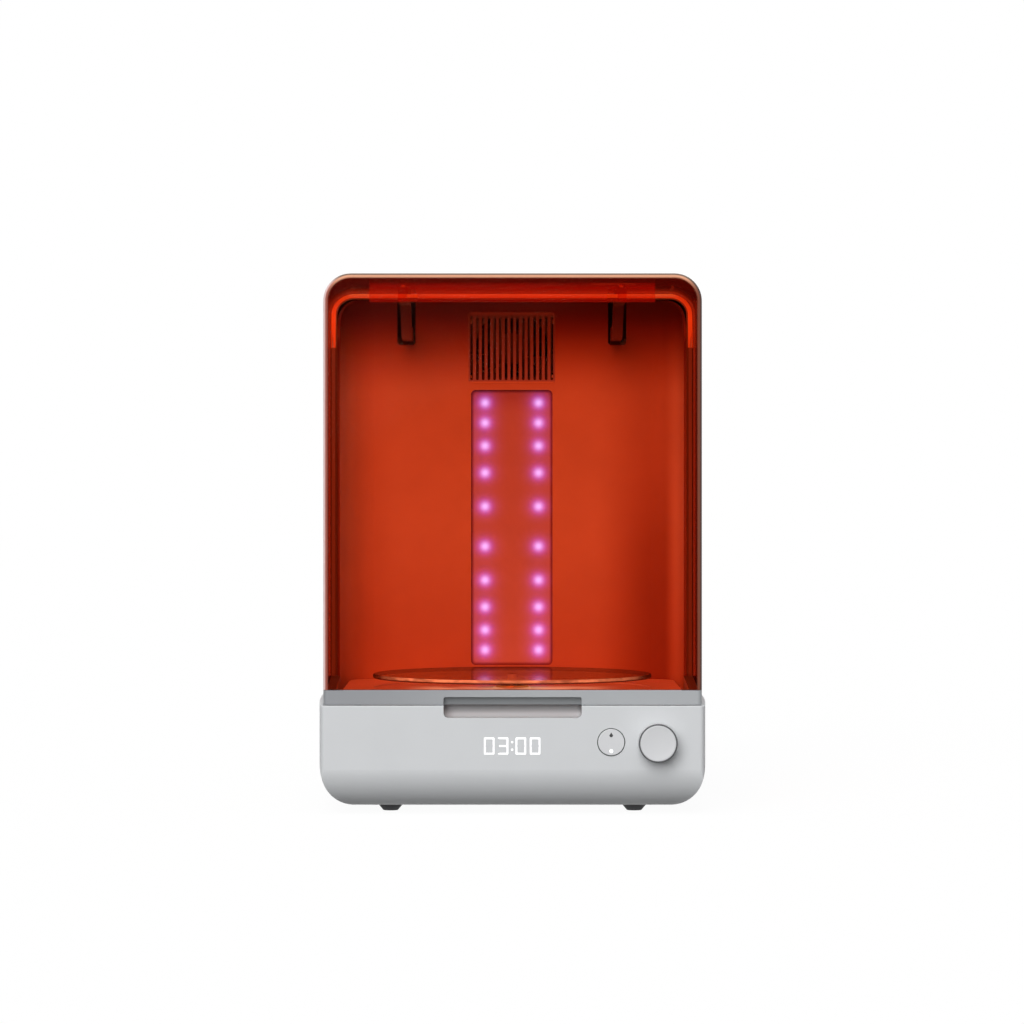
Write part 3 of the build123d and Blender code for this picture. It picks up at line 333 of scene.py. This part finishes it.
def dim(mat, level):
    """Darkens the base colour by a level socket, and more in green and blue than in red."""
    tree = mat.node_tree
    tint = combined_color(tree, [math_node(tree, "POWER", level, power) for power in DIM_POWERS])
    recolor(mat, 1.0, tint, "MULTIPLY")


def inset_from(tree, point, outline):
    """How far a point lies inside a flared, round-cornered outline, along x and z."""
    x, y, z = point
    half_width, top, corner = outline
    half = math_node(tree, "MULTIPLY_ADD", y, FLARE, half_width - FLARE * FRONT_Y)
    gap_side = math_node(tree, "SUBTRACT", half, size_of(tree, x))
    gap_top = math_node(tree, "SUBTRACT", top, z)
    short_of = []
    for gap in (gap_side, gap_top):
        short = math_node(tree, "SUBTRACT", corner, gap)
        short_of.append(math_node(tree, "MAXIMUM", short, 0.0))
    return math_node(tree, "SUBTRACT", corner, length_of(tree, *short_of))


def top_level(tree, z, dark=0.92):
    """Less light reaches the chamber's walls near its top."""
    return inverse(tree, smooth_step(tree, z, *TOP_DIM_Z), dark)


# ---------------------------------------------------------------- clear materials
ORANGE_TINT = (0.957, 0.51, 0.345, 1)  # at each face of the sheet
ORANGE_EDGE = (0.26, 0.07, 0.05, 1)
# painted highlight and shade on the hood's rounded front edge, outer and inner half: at the left,
# at the top and at the right
EDGE_RINGS = (
    ((0.97, 0.72, 0.70, 1), (0.24, 0.18, 0.14, 1), (0.13, 0.10, 0.09, 1)),
    ((0.42, 0.13, 0.10, 1), (0.95, 0.48, 0.30, 1), (0.24, 0.08, 0.05, 1)),
)
EDGE_TURN = (0.04, 0.25)  # how far a face of the edge turns to the front
EDGE_INSETS = (0.0021, 0.0038)
EDGE_BACK_Y = (FRONT_Y + 0.0036, FRONT_Y + 0.0040)
RING_STEP = (0.0008, 0.0018)  # insets
EDGE_CORNER = (0.90, 0.99)  # shares of the half width between which the top's light ends
# where the crossbar is painted dark beside each arm, as painted shade
SHADE_PATCH_X = (0.0694, 0.0770)
SHADE_PATCH_Z = (0.3688, 0.3738)
RIM_LIGHT_LINE_Z = (0.3712, 0.3742)  # the painted line of the rim's orange light over the painted shade patches and the arms' ends
TABLE_RIM_RADIUS = 0.1019
TABLE_RIM_Z = (0.0925, 0.0933)
TABLE_RIM_FRONT = (0.03, 0.08)  # in front of the turntable's middle, where the rim's painted highlight lies


def clear_wall(name, tint, edge, gloss, mirror_share):
    """A clear wall that deepens from the tint to the edge colour at grazing angles."""
    mat, tree = new_material(name)
    tree.nodes.remove(principled(mat))
    facing = new_node(tree, "ShaderNodeLayerWeight", {"Blend": 0.5}).outputs["Facing"]
    cloud = spread(tree, noise(tree, 0.05), 0.0, 1.0)
    face = blend(tree, cloud, shade(tint, 0.985), tint)
    color = blend(tree, smooth_step(tree, facing, 0.75, 0.96), face, edge)
    clear = new_node(tree, "ShaderNodeBsdfTransparent", {"Color": color})
    mirror = new_node(tree, "ShaderNodeBsdfGlossy", {"Color": WHITE, "Roughness": gloss})
    rise = math_node(tree, "POWER", facing, 5.0)
    share = math_node(tree, "MULTIPLY_ADD", rise, mirror_share, 0.0005)
    shader = mix_shaders(tree, share, clear.outputs["BSDF"], mirror.outputs["BSDF"])
    tree.links.new(shader, surface_socket(tree))
    return mat


def hood_sheet(name):
    """Clear orange sheet whose rounded front edge has a painted highlight from the left and above
    and painted shade at the right.
    """
    mat = clear_wall(name, ORANGE_TINT, ORANGE_EDGE, 0.03, 0.12)
    tree = mat.node_tree
    facing = size_of(tree, components(tree, "Normal")[1])
    x, y, z = components(tree)
    inset = inset_from(tree, (x, y, z), HOOD_OUTLINE)
    edge = product(
        tree,
        smooth_step(tree, facing, *EDGE_TURN),
        inverse(tree, smooth_step(tree, inset, *EDGE_INSETS)),
        inverse(tree, smooth_step(tree, y, *EDGE_BACK_Y)),
        0.9,
    )
    place = math_node(tree, "DIVIDE", x, HOOD_HALF_WIDTH)
    start, end = EDGE_CORNER
    to_top = smooth_step(tree, place, -end, -start)
    to_right = smooth_step(tree, place, start, end)
    rings = []
    for left, top, right in EDGE_RINGS:
        rings.append(blend(tree, to_right, blend(tree, to_top, left, top), right))
    color = blend(tree, smooth_step(tree, inset, *RING_STEP), *rings)
    gleam = new_node(tree, "ShaderNodeBsdfDiffuse", {"Color": color})
    overlay(tree, edge, gleam.outputs["BSDF"])
    return mat


def crossbar_clear(name):
    """Clear bar with a cloudy orange body, bonded under the hood, with painted shade beside each
    arm topped by a painted line of the rim's orange light.
    """
    mat, tree = new_material(name)
    tree.nodes.remove(principled(mat))
    x, _, z = components(tree)
    # painted shade patch, with a painted line of the rim's orange light along its top
    shade_patch = product(tree, between(tree, size_of(tree, x), *SHADE_PATCH_X), between(tree, z, *SHADE_PATCH_Z))
    lit_line = above(tree, z, RIM_LIGHT_LINE_Z[0])
    shade_patch_color = blend(tree, lit_line, (0.32, 0.07, 0.04, 1), (0.95, 0.42, 0.18, 1))
    color = blend(tree, shade_patch, (0.9, 0.12, 0.04, 1), shade_patch_color)
    cloud = spread(tree, noise(tree, 0.03), 0.16, 0.20)
    clear = new_node(tree, "ShaderNodeBsdfTransparent", {"Color": (1.0, 0.8, 0.7, 1)})
    body = new_node(tree, "ShaderNodeBsdfDiffuse", {"Color": color})
    share = math_node(tree, "MAXIMUM", cloud, shade_patch)
    shader = mix_shaders(tree, share, clear.outputs["BSDF"], body.outputs["BSDF"])
    tree.links.new(shader, surface_socket(tree))
    return mat


def turntable_glass(name):
    """Clear plate whose rim has a painted highlight and glow along the front, and painted shade
    under it and at the ends.
    """
    mat = clear_wall(name, (0.95, 0.98, 0.97, 1), (0.8, 0.86, 0.84, 1), 0.04, 0.4)
    tree = mat.node_tree
    x, y, z = components(tree)
    back = math_node(tree, "SUBTRACT", y, TABLE_Y)
    rim = above(tree, length_of(tree, back, x), TABLE_RIM_RADIUS)
    # painted highlight along the upper front of the rim, broken up by noise
    rim_highlight = product(
        tree,
        smooth_step(tree, z, *TABLE_RIM_Z),
        smooth_step(tree, product(tree, back, -1.0), *TABLE_RIM_FRONT),
        spread(tree, noise(tree, 0.012, stretch=(1, 1, 3)), 0.25, 1.0),
    )
    color = blend(tree, rim_highlight, (0.10, 0.08, 0.07, 1), (1.0, 0.98, 0.96, 1))
    edge = new_node(tree, "ShaderNodeBsdfDiffuse", {"Color": color})
    glow = new_node(tree, "ShaderNodeEmission", {
        "Color": (0.7, 1.0, 1.0, 1), "Strength": product(tree, rim_highlight, 1.2),
    })
    lit_edge = new_node(tree, "ShaderNodeAddShader", {
        0: edge.outputs["BSDF"], 1: glow.outputs["Emission"],
    })
    overlay(tree, product(tree, rim, 0.75), lit_edge.outputs["Shader"])
    return mat


# ---------------------------------------------------------------- materials of the chamber
PANEL_COLOR = (0.73, 0.70, 0.70, 1)
PANEL_FOOT_Z = (0.085, 0.22)
PANEL_BEND_X = (0.117, 0.127)  # the panel turns forwards here, on each side
PANEL_LEFT_X = (0.085, 0.115)
PANEL_RIGHT_X = (0.06, 0.112)
PANEL_RIGHT_Z = (0.16, 0.30)
PANEL_WALL_Y = (FRONT_Y + 0.2, FRONT_Y + 0.203)  # what is in front of it is in shade
PATCH_FRONT_Y = (FRONT_Y + 0.11, FRONT_Y + 0.15)
PATCH_X = (0.045, 0.085)
# radius of each glow round an LED, and its red, green and blue gains
LED_GLOW = (
    (0.0031, (0.30, 1.55, 3.0)),
    (0.0048, (0.28, 0.15, 5.0)),
    (0.0090, (0.06, 0.08, 0.9)),
)
WINDOW_GLOW = (0.0, 0.0, 0.06)  # red, green and blue all over the window
WINDOW_CORNER = 0.004
WINDOW_BORDER = 0.003
WINDOW_SHADOW = 0.022


def reflector(name):
    """Pale panel. Less light reaches it near the top, the foot and the bent sides."""
    mat = surface(
        name, PANEL_COLOR, 0.55, grain=0.0005, bump=0.04, stretch=(1, 1, 0.03), specular=0.1
    )
    tree = mat.node_tree
    x, y, z = components(tree)
    foot = inverse(tree, inverse(tree, smooth_step(tree, z, *PANEL_FOOT_Z)), 0.24)
    flat = inverse(tree, smooth_step(tree, size_of(tree, x), *PANEL_BEND_X))
    near_left = smooth_step(tree, product(tree, x, -1.0), *PANEL_LEFT_X)
    left = inverse(tree, product(tree, near_left, flat), 0.10)
    near_right = smooth_step(tree, x, *PANEL_RIGHT_X)
    fade = math_node(tree, "MULTIPLY_ADD", smooth_step(tree, z, *PANEL_RIGHT_Z), -0.24, 0.47)
    right = inverse(tree, product(tree, near_right, fade, flat))
    front = math_node(tree, "MULTIPLY_ADD", smooth_step(tree, y, *PANEL_WALL_Y), 0.7, 0.3)
    dim(mat, product(tree, top_level(tree, z), foot, left, right, front))
    return mat


def grille_face(name):
    """Frame like the panel round it, and dimmer ribs between the slots."""
    mat = surface(name, PANEL_COLOR, 0.5)
    tree = mat.node_tree
    z = components(tree)[2]
    low = smooth_step(tree, z, GRILLE_LOW - GRILLE_FADE, GRILLE_LOW)
    high = inverse(tree, smooth_step(tree, z, GRILLE_HIGH, GRILLE_HIGH + GRILLE_FADE))
    recolor(mat, product(tree, low, high), (0.40, 0.42, 0.75, 1))
    dim(mat, top_level(tree, z, 0.9))
    return mat


def floor_pan(name):
    """Pale pan with the broken light that the glass plate throws on its front part."""
    mat = surface(name, (0.8, 0.78, 0.76, 1), 0.4, grain=0.0005, bump=0.04, specular=0.3)
    tree = mat.node_tree
    x, y, _ = components(tree)
    patches = smooth_step(tree, noise(tree, 0.035, 1.0, (1, 0.6, 1)), 0.28, 0.66)
    front = inverse(tree, smooth_step(tree, y, *PATCH_FRONT_Y))
    near = inverse(tree, smooth_step(tree, size_of(tree, x), *PATCH_X))
    feed(tree, principled(mat), {
        "Emission Color": (0.5, 0.85, 1.0, 1),
        "Emission Strength": product(tree, patches, front, near, 0.85),
    })
    return mat


def led_heights():
    rows = []
    offset = -LED_GAPS[0] / 2
    for gap in LED_GAPS:
        offset += gap
        rows += [LED_MID_Z - offset, LED_MID_Z + offset]
    return rows


def diffuser(name):
    """Frosted sheet lit from behind by the LEDs: bright cores in a wide violet haze."""
    mat = surface(name, (0.6, 0.62, 0.62, 1), 0.45, grain=0.0006, bump=0.08, mottle=0.02)
    tree = mat.node_tree
    x, _, z = components(tree)
    across = math_node(tree, "SUBTRACT", size_of(tree, x), LED_X)
    across = product(tree, across, across)
    squares = []
    for height in led_heights():
        away = math_node(tree, "SUBTRACT", z, height)
        squares.append(math_node(tree, "ADD", across, product(tree, away, away)))
    light = list(WINDOW_GLOW)
    for radius, gains in LED_GLOW:
        scaled = [product(tree, squared, -1 / radius ** 2) for squared in squares]
        glow = fold(tree, "ADD", [math_node(tree, "EXPONENT", value) for value in scaled])
        for channel, gain in enumerate(gains):
            light[channel] = math_node(tree, "ADD", product(tree, glow, gain), light[channel])
    side = math_node(tree, "SUBTRACT", WINDOW_HALF_WIDTH, size_of(tree, x))
    top = math_node(tree, "SUBTRACT", WINDOW_HIGH, z)
    low = math_node(tree, "SUBTRACT", z, WINDOW_LOW)
    nearest = math_node(tree, "MINIMUM", top, low)
    nearest = math_node(tree, "SMOOTH_MIN", nearest, side, WINDOW_CORNER)
    # a dark border round the window, which also dims its glow, and a painted shadow under its top
    # edge
    border = smooth_step(tree, nearest, 0.0, WINDOW_BORDER)
    inner = math_node(tree, "MULTIPLY_ADD", border, 0.72, 0.28)
    shadow = smooth_step(tree, top, 0.0, WINDOW_SHADOW)
    dim(mat, product(tree, inner, math_node(tree, "MULTIPLY_ADD", shadow, 0.25, 0.75)))
    feed(tree, principled(mat), {
        "Emission Color": combined_color(tree, light), "Emission Strength": inner,
    })
    return mat


# ---------------------------------------------------------------- materials of the shell and hinge
BODY_COLOR = linear(209, 211, 213)
NEAR_BLACK = (0.02, 0.02, 0.02, 1)
RIM_ORANGE = (0.80, 0.38, 0.15, 1)
RIM_SIDE = (1.0, 0.5, 0.2, 1)
RIM_DARK = (0.15, 0.10, 0.07, 1)
SEAL_LIGHT = (0.30, 0.21, 0.19, 1)
RIM_TURN_Z = (0.360, 0.376)  # where the rim's sides turn into its top
SEAL_STEP = (0.0022, 0.0028)  # insets
SEAL_RISE_Z = (0.10, 0.26)
ARM_END_Y = FRONT_Y + 0.0862
INSIDE_RADIUS = 0.0395  # this and the other radii are round the hinge
INSIDE_INSET = 0.0015
SLOT_WALL_REACH = 0.0075  # from the slot's middle
SLOT_WALL_RADIUS = 0.0417
RIM_RADIUS = 0.0412
RIM_BACK_Y = FRONT_Y + 0.2382
RIM_INSET = 0.0029
SCOOP_EDGE_Y = (FRONT_Y + 0.0002, FRONT_Y + 0.0012)
SCOOP_BACK_Y = FRONT_Y + 0.0155
SCOOP_LOW_Z = 0.0689
SCOOP_RISE_Z = (0.0695, 0.0757)
FRAME_LEFT_X = (-0.12, 0.03)
NOTCH_EDGE_Y = (FRONT_Y + 0.0008, FRONT_Y + 0.002)
LEDGE_Z = 0.0885
LEDGE_X = 0.12


def body_surface(name):
    return surface(name, BODY_COLOR, 0.42, bump=0.06, mottle=0.012)


def arm_metal(name):
    """Grey metal with painted shade near the top and on its end face, which a painted line of the
    rim's orange light crosses.
    """
    mat = surface(name, (0.62, 0.62, 0.63, 1), 0.45, metal=0.6, grain=0.0006, bump=0.1)
    tree = mat.node_tree
    _, y, z = components(tree)
    dim(mat, top_level(tree, z, 0.9))
    # painted shade on the end face, and across it a painted line of the rim's orange light
    end = below(tree, y, ARM_END_Y)
    recolor(mat, end, (0.20, 0.03, 0.02, 1))
    recolor(mat, product(tree, end, between(tree, z, *RIM_LIGHT_LINE_Z)), shade(RIM_ORANGE, 0.8))
    return mat


def light_seal(name):
    """Foam strip that is paler along its outer half and towards the top."""
    mat = surface(name, RIM_DARK, 0.9, grain=0.0011, bump=0.6)
    tree = mat.node_tree
    point = components(tree)
    outer = inverse(tree, smooth_step(tree, inset_from(tree, point, TOWER_OUTLINE), *SEAL_STEP))
    rise = smooth_step(tree, point[2], *SEAL_RISE_Z)
    level = math_node(tree, "MULTIPLY_ADD", rise, 0.5, 0.5)
    recolor(mat, product(tree, outer, level), SEAL_LIGHT)
    return mat


def rim_light(tree, z):
    """The orange light on the rim, stronger down its sides than along its top."""
    return blend(tree, smooth_step(tree, z, *RIM_TURN_Z), RIM_SIDE, RIM_ORANGE)


def tower_skin(name):
    """Grey shell with painted shade inside it, on the walls of the arms' slots and on the front
    rim, and the hood's orange light painted on the rim's upper part.
    """
    mat = body_surface(name)
    tree = mat.node_tree
    x, y, z = components(tree)
    back = math_node(tree, "SUBTRACT", y, HINGE_Y)
    up = math_node(tree, "MAXIMUM", math_node(tree, "SUBTRACT", z, HINGE_Z), 0.0)
    radius = length_of(tree, back, up)
    inset = inset_from(tree, (x, y, z), TOWER_OUTLINE)
    inside = product(tree, below(tree, radius, INSIDE_RADIUS), above(tree, inset, INSIDE_INSET))
    from_slot = size_of(tree, math_node(tree, "SUBTRACT", size_of(tree, x), SLOT_X))
    slot_wall = product(
        tree, below(tree, from_slot, SLOT_WALL_REACH), below(tree, radius, SLOT_WALL_RADIUS)
    )
    # painted shade inside the tower and on the walls of the arms' slots
    recolor(mat, math_node(tree, "MAXIMUM", inside, slot_wall), NEAR_BLACK)
    rim = product(tree, above(tree, radius, RIM_RADIUS), below(tree, y, RIM_BACK_Y))
    lit_part = product(tree, above(tree, z, RIM_LIT_Z), below(tree, inset, RIM_INSET))
    # painted shade on the front rim, then painted orange light on its lit upper part
    recolor(mat, rim, RIM_DARK)
    recolor(mat, product(tree, rim, lit_part), rim_light(tree, z))
    return mat


def base_skin(name):
    """Grey shell with a shaded finger scoop under the hood's handle."""
    mat = body_surface(name)
    tree = mat.node_tree
    x, y, z = components(tree)
    scoop = product(
        tree,
        below(tree, size_of(tree, x), NOTCH_HALF_WIDTH),
        above(tree, z, SCOOP_LOW_Z),
        smooth_step(tree, y, *SCOOP_EDGE_Y),
        below(tree, y, SCOOP_BACK_Y),
        smooth_step(tree, z, *SCOOP_RISE_Z),
        0.8,
    )
    recolor(mat, scoop, (0.12, 0.12, 0.125, 1))
    return mat


def frame_skin(name):
    """Grey frame with painted shade towards the left, in the handle notch and on the ledges at its
    sides.
    """
    mat = surface(name, linear(168, 171, 174), 0.34, mottle=0.02)
    tree = mat.node_tree
    x, y, z = components(tree)
    side = size_of(tree, x)
    # painted shade: towards the left, in the handle notch and on the side ledges
    recolor(mat, inverse(tree, smooth_step(tree, x, *FRAME_LEFT_X)), linear(142, 144, 148))
    in_notch = below(tree, side, NOTCH_HALF_WIDTH)
    notch = product(tree, in_notch, smooth_step(tree, y, *NOTCH_EDGE_Y), 0.6)
    recolor(mat, notch, (0.08, 0.09, 0.095, 1))
    ledge = product(tree, above(tree, z, LEDGE_Z), above(tree, side, LEDGE_X), 0.85)
    recolor(mat, ledge, NEAR_BLACK)
    return mat


def lit(name, color, strength):
    mat = surface(name, color, 0.5, bump=0.0)
    feed(mat.node_tree, principled(mat), {"Emission Color": color, "Emission Strength": strength})
    return mat


# ---------------------------------------------------------------- which node wears what
MATERIALS = {
    "plate_grey": surface("plate_grey", linear(176, 178, 181), 0.5, grain=0.0007, bump=0.25),
    "frame_grey": frame_skin("frame_grey"),
    "button_grey": surface("button_grey", linear(212, 213, 215), 0.4, bump=0.04, mottle=0.01),
    "knob_grey": surface("knob_grey", linear(212, 213, 215), 0.38, bump=0.04, mottle=0.01),
    "hood_orange": hood_sheet("hood_orange"),
    "reflector": reflector("reflector"),
    "diffuser": diffuser("diffuser"),
    "clear_glass": turntable_glass("clear_glass"),
    "led_clear": lit("led_clear", (0.85, 0.75, 1.0, 1), 0.6),
    "board_white": surface("board_white", linear(225, 226, 226), 0.4),
    "board_green": surface("board_green", (0.015, 0.11, 0.04, 1), 0.35, grain=0.0009, bump=0.2),
    "aluminium_raw": surface(
        "aluminium_raw", (0.72, 0.73, 0.74, 1), 0.36, metal=1.0, stretch=(1, 1, 0.02)
    ),
    "arm_grey": arm_metal("arm_grey"),
    "steel": surface("steel", (0.56, 0.56, 0.57, 1), 0.32, metal=1.0),
    "motor_steel": surface(
        "motor_steel", (0.5, 0.5, 0.51, 1), 0.38, metal=1.0, stretch=(1, 1, 0.05)
    ),
    "bush_brass": surface("bush_brass", (0.72, 0.52, 0.24, 1), 0.3, metal=1.0),
    "pin_brass": surface("pin_brass", (0.78, 0.7, 0.5, 1), 0.28, metal=1.0),
    "white_plastic": surface("white_plastic", linear(232, 232, 230), 0.4),
    "black_plastic": surface("black_plastic", (0.022, 0.022, 0.023, 1), 0.45, bump=0.15),
    "rubber_dark": surface("rubber_dark", (0.12, 0.12, 0.125, 1), 0.75, grain=0.0008, bump=0.3),
    "seal_foam": surface("seal_foam", (0.1, 0.1, 0.1, 1), 0.9, grain=0.0011, bump=0.6),
    "filter_foam": surface("filter_foam", NEAR_BLACK, 0.9, grain=0.0014, bump=0.6),
    "grille_grey": grille_face("grille_grey"),
    "black_metal": surface("black_metal", NEAR_BLACK, 0.55, bump=0.15),
    "trim_dark": surface("trim_dark", linear(72, 73, 76), 0.45),
}
NODE_MATERIALS = {
    "base_shell": base_skin("base_skin"),
    "tower_shell": tower_skin("tower_skin"),
    "hinge_crossbar": crossbar_clear("crossbar_clear"),
    "chamber_floor": floor_pan("floor_pan"),
    "light_seal": light_seal("light_seal"),
}


def dress_nodes():
    for name, node in NODES.items():
        mat = NODE_MATERIALS.get(name) or MATERIALS[SLOT_OF[name]]
        if not node.material_slots:
            node.data.materials.append(mat)
        for slot in node.material_slots:
            slot.material = mat


# ---------------------------------------------------------------- small pieces
MARK_THICKNESS = 0.00008
DIGIT_WIDTH = 0.0075
DIGIT_HEIGHT = 0.0121
DIGIT_BOTTOM = 0.0431
DIGIT_LEFTS = (-0.0203, -0.0105, 0.0021, 0.0122)
STROKE = 0.00125
CHAMFER = 0.0005
SEGMENTS = {"0": "abcdef", "3": "abcdg"}
COLON_X = -0.0003
COLON_HEIGHTS = (0.0466, 0.0519)
COLON_RADIUS = 0.0008
BUTTON_X = 0.0699
BUTTON_FRONT = FRONT_Y - 0.0005
DROP_Z = 0.0567
DROP_RADIUS = 0.0013
BUTTON_LIGHT_Z = 0.0456
BUTTON_LIGHT_RADIUS = 0.0014
BEAD_RADIUS = 0.0006
BEAD_PROUD = 0.0003  # how far the bead's middle stands outside the tower's outline
BEAD_BACK = 0.0007  # how far it lies behind the barrel's surface
BEAD_DEEPEST = 0.2385
BEAD_HEIGHTS = (0.0795, 0.15, 0.25, HINGE_Z, 0.35, 0.36)  # up the straight side
BEAD_CORNER_STEPS = 8
COVER_SEAL_HALF = 0.1
COVER_SEAL_Z = (0.3375, 0.3415)
COVER_SEAL_Y = FRONT_Y + 0.2792
COVER_SEAL_THICKNESS = 0.001


def piece(name, data, body, mat):
    data.materials.append(mat)
    thing = link_object(name, data)
    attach(thing, body)


def plates(name, outlines, y, thick=MARK_THICKNESS):
    """Thin plates facing the front, from outlines of (x, z) points."""
    bm = bmesh.new()
    for outline in outlines:
        front = [bm.verts.new((x, y - thick, z)) for x, z in outline]
        back = [bm.verts.new((x, y, z)) for x, z in outline]
        bm.faces.new(front)
        bm.faces.new(list(reversed(back)))
        for i in range(len(outline)):
            j = (i + 1) % len(outline)
            bm.faces.new((front[j], front[i], back[i], back[j]))
    bmesh.ops.recalc_face_normals(bm, faces=bm.faces)
    mesh = bpy.data.meshes.new(name)
    bm.to_mesh(mesh)
    bm.free()
    return mesh


def segment(kind, x, z):
    """One bar of a seven-segment digit whose lower left corner is (x, z)."""
    w, h, s, c = DIGIT_WIDTH, DIGIT_HEIGHT, STROKE, CHAMFER
    mid = h / 2
    bars = {
        "a": [(c, h), (w - c, h), (w, h - c), (w - s, h - s), (s, h - s), (0, h - c)],
        "d": [(c, 0), (0, c), (s, s), (w - s, s), (w, c), (w - c, 0)],
        "g": [(s * 0.6, mid), (s, mid + s / 2), (w - s, mid + s / 2), (w - s * 0.6, mid),
              (w - s, mid - s / 2), (s, mid - s / 2)],
        "f": [(0, h - c), (s, h - s), (s, mid + s * 0.45), (s * 0.62, mid), (0, mid)],
        "e": [(0, c), (0, mid), (s * 0.62, mid), (s, mid - s * 0.45), (s, s)],
    }
    bars["b"] = [(w - px, pz) for px, pz in bars["f"]]
    bars["c"] = [(w - px, pz) for px, pz in bars["e"]]
    return [(x + px, z + pz) for px, pz in bars[kind]]


def disc(x, z, radius, count=24):
    turns = [2 * math.pi * i / count for i in range(count)]
    return [(x + radius * math.cos(turn), z + radius * math.sin(turn)) for turn in turns]


def add_clock():
    outlines = []
    for digit, left in zip("0300", DIGIT_LEFTS):
        outlines += [segment(kind, left, DIGIT_BOTTOM) for kind in SEGMENTS[digit]]
    outlines += [disc(COLON_X, z, COLON_RADIUS) for z in COLON_HEIGHTS]
    mesh = plates("clock_digits", outlines, FRONT_Y)
    piece("clock_digits", mesh, "housing", lit("digit_light", WHITE, 0.35))


def drop_outline():
    """A disc whose upper half is drawn in and up to a point."""
    points = []
    for x, z in disc(0, 0, 1, 28):
        pinch = 1.0 - 0.55 * max(0.0, z) ** 1.5
        lift = 1.0 + 0.55 * max(0.0, z) ** 3
        points.append((BUTTON_X + DROP_RADIUS * x * pinch, DROP_Z + DROP_RADIUS * z * lift))
    return points


def add_button_marks():
    mesh = plates("button_drop", [drop_outline()], BUTTON_FRONT)
    piece("button_drop", mesh, "button", MATERIALS["black_plastic"])
    outline = disc(BUTTON_X, BUTTON_LIGHT_Z, BUTTON_LIGHT_RADIUS)
    mesh = plates("button_light", [outline], BUTTON_FRONT)
    piece("button_light", mesh, "button", lit("button_light", WHITE, 0.3))


def bead_point(z, turn=0.0):
    """A point of the bead on the right, at a height of the tower's edge and a turn of its corner.

    The barrel gives it its depth.
    """
    rise = max(0.0, z - HINGE_Z)
    barrel = math.sqrt(max(0.0, BARREL_RADIUS ** 2 - rise ** 2))
    depth = min(HINGE_DEPTH - barrel + BEAD_BACK, BEAD_DEEPEST)
    half = TOWER_HALF_WIDTH + FLARE * depth - TOWER_CORNER * (1 - math.cos(turn))
    x = half + BEAD_PROUD * math.cos(turn)
    return x, FRONT_Y + depth, z + BEAD_PROUD * math.sin(turn)


def add_rim_bead():
    """Soft bead round the tower's front, in the gap behind the hood, open at the arms' slots."""
    right = [bead_point(z) for z in BEAD_HEIGHTS]
    for step in range(BEAD_CORNER_STEPS + 1):
        turn = math.pi / 2 * step / BEAD_CORNER_STEPS
        right.append(bead_point(TOWER_TOP - TOWER_CORNER * (1 - math.sin(turn)), turn))
    _, y, z = right[-1]
    right.append((SLOT_X + SLOT_HALF, y, z))
    left = [(-px, py, pz) for px, py, pz in right]
    middle = [(x, y, z) for x in (SLOT_HALF - SLOT_X, SLOT_X - SLOT_HALF)]
    data = bpy.data.curves.new("rim_bead", "CURVE")
    data.dimensions = "3D"
    data.bevel_depth = BEAD_RADIUS
    data.bevel_resolution = 3
    data.use_fill_caps = True
    for route in (right, left, middle):
        spline = data.splines.new("POLY")
        spline.points.add(len(route) - 1)
        for target, place in zip(spline.points, route):
            target.co = (*place, 1.0)
    mat = surface("rim_bead", RIM_DARK, 0.6, bump=0.1)
    tree = mat.node_tree
    height = components(tree)[2]
    recolor(mat, above(tree, height, RIM_LIT_Z), rim_light(tree, height))
    piece("rim_bead", data, "housing", mat)


def add_cover_seal():
    """Foam strip inside the tower, over the gap above the rear cover."""
    half, (low, high) = COVER_SEAL_HALF, COVER_SEAL_Z
    outline = [(-half, low), (half, low), (half, high), (-half, high)]
    mesh = plates("cover_seal", [outline], COVER_SEAL_Y, COVER_SEAL_THICKNESS)
    piece("cover_seal", mesh, "housing", MATERIALS["seal_foam"])


add_camera()
add_world()
add_floor()
for sun in SUNS:
    add_sun(*sun)
dress_nodes()
add_clock()
add_button_marks()
add_rim_bead()
add_cover_seal()
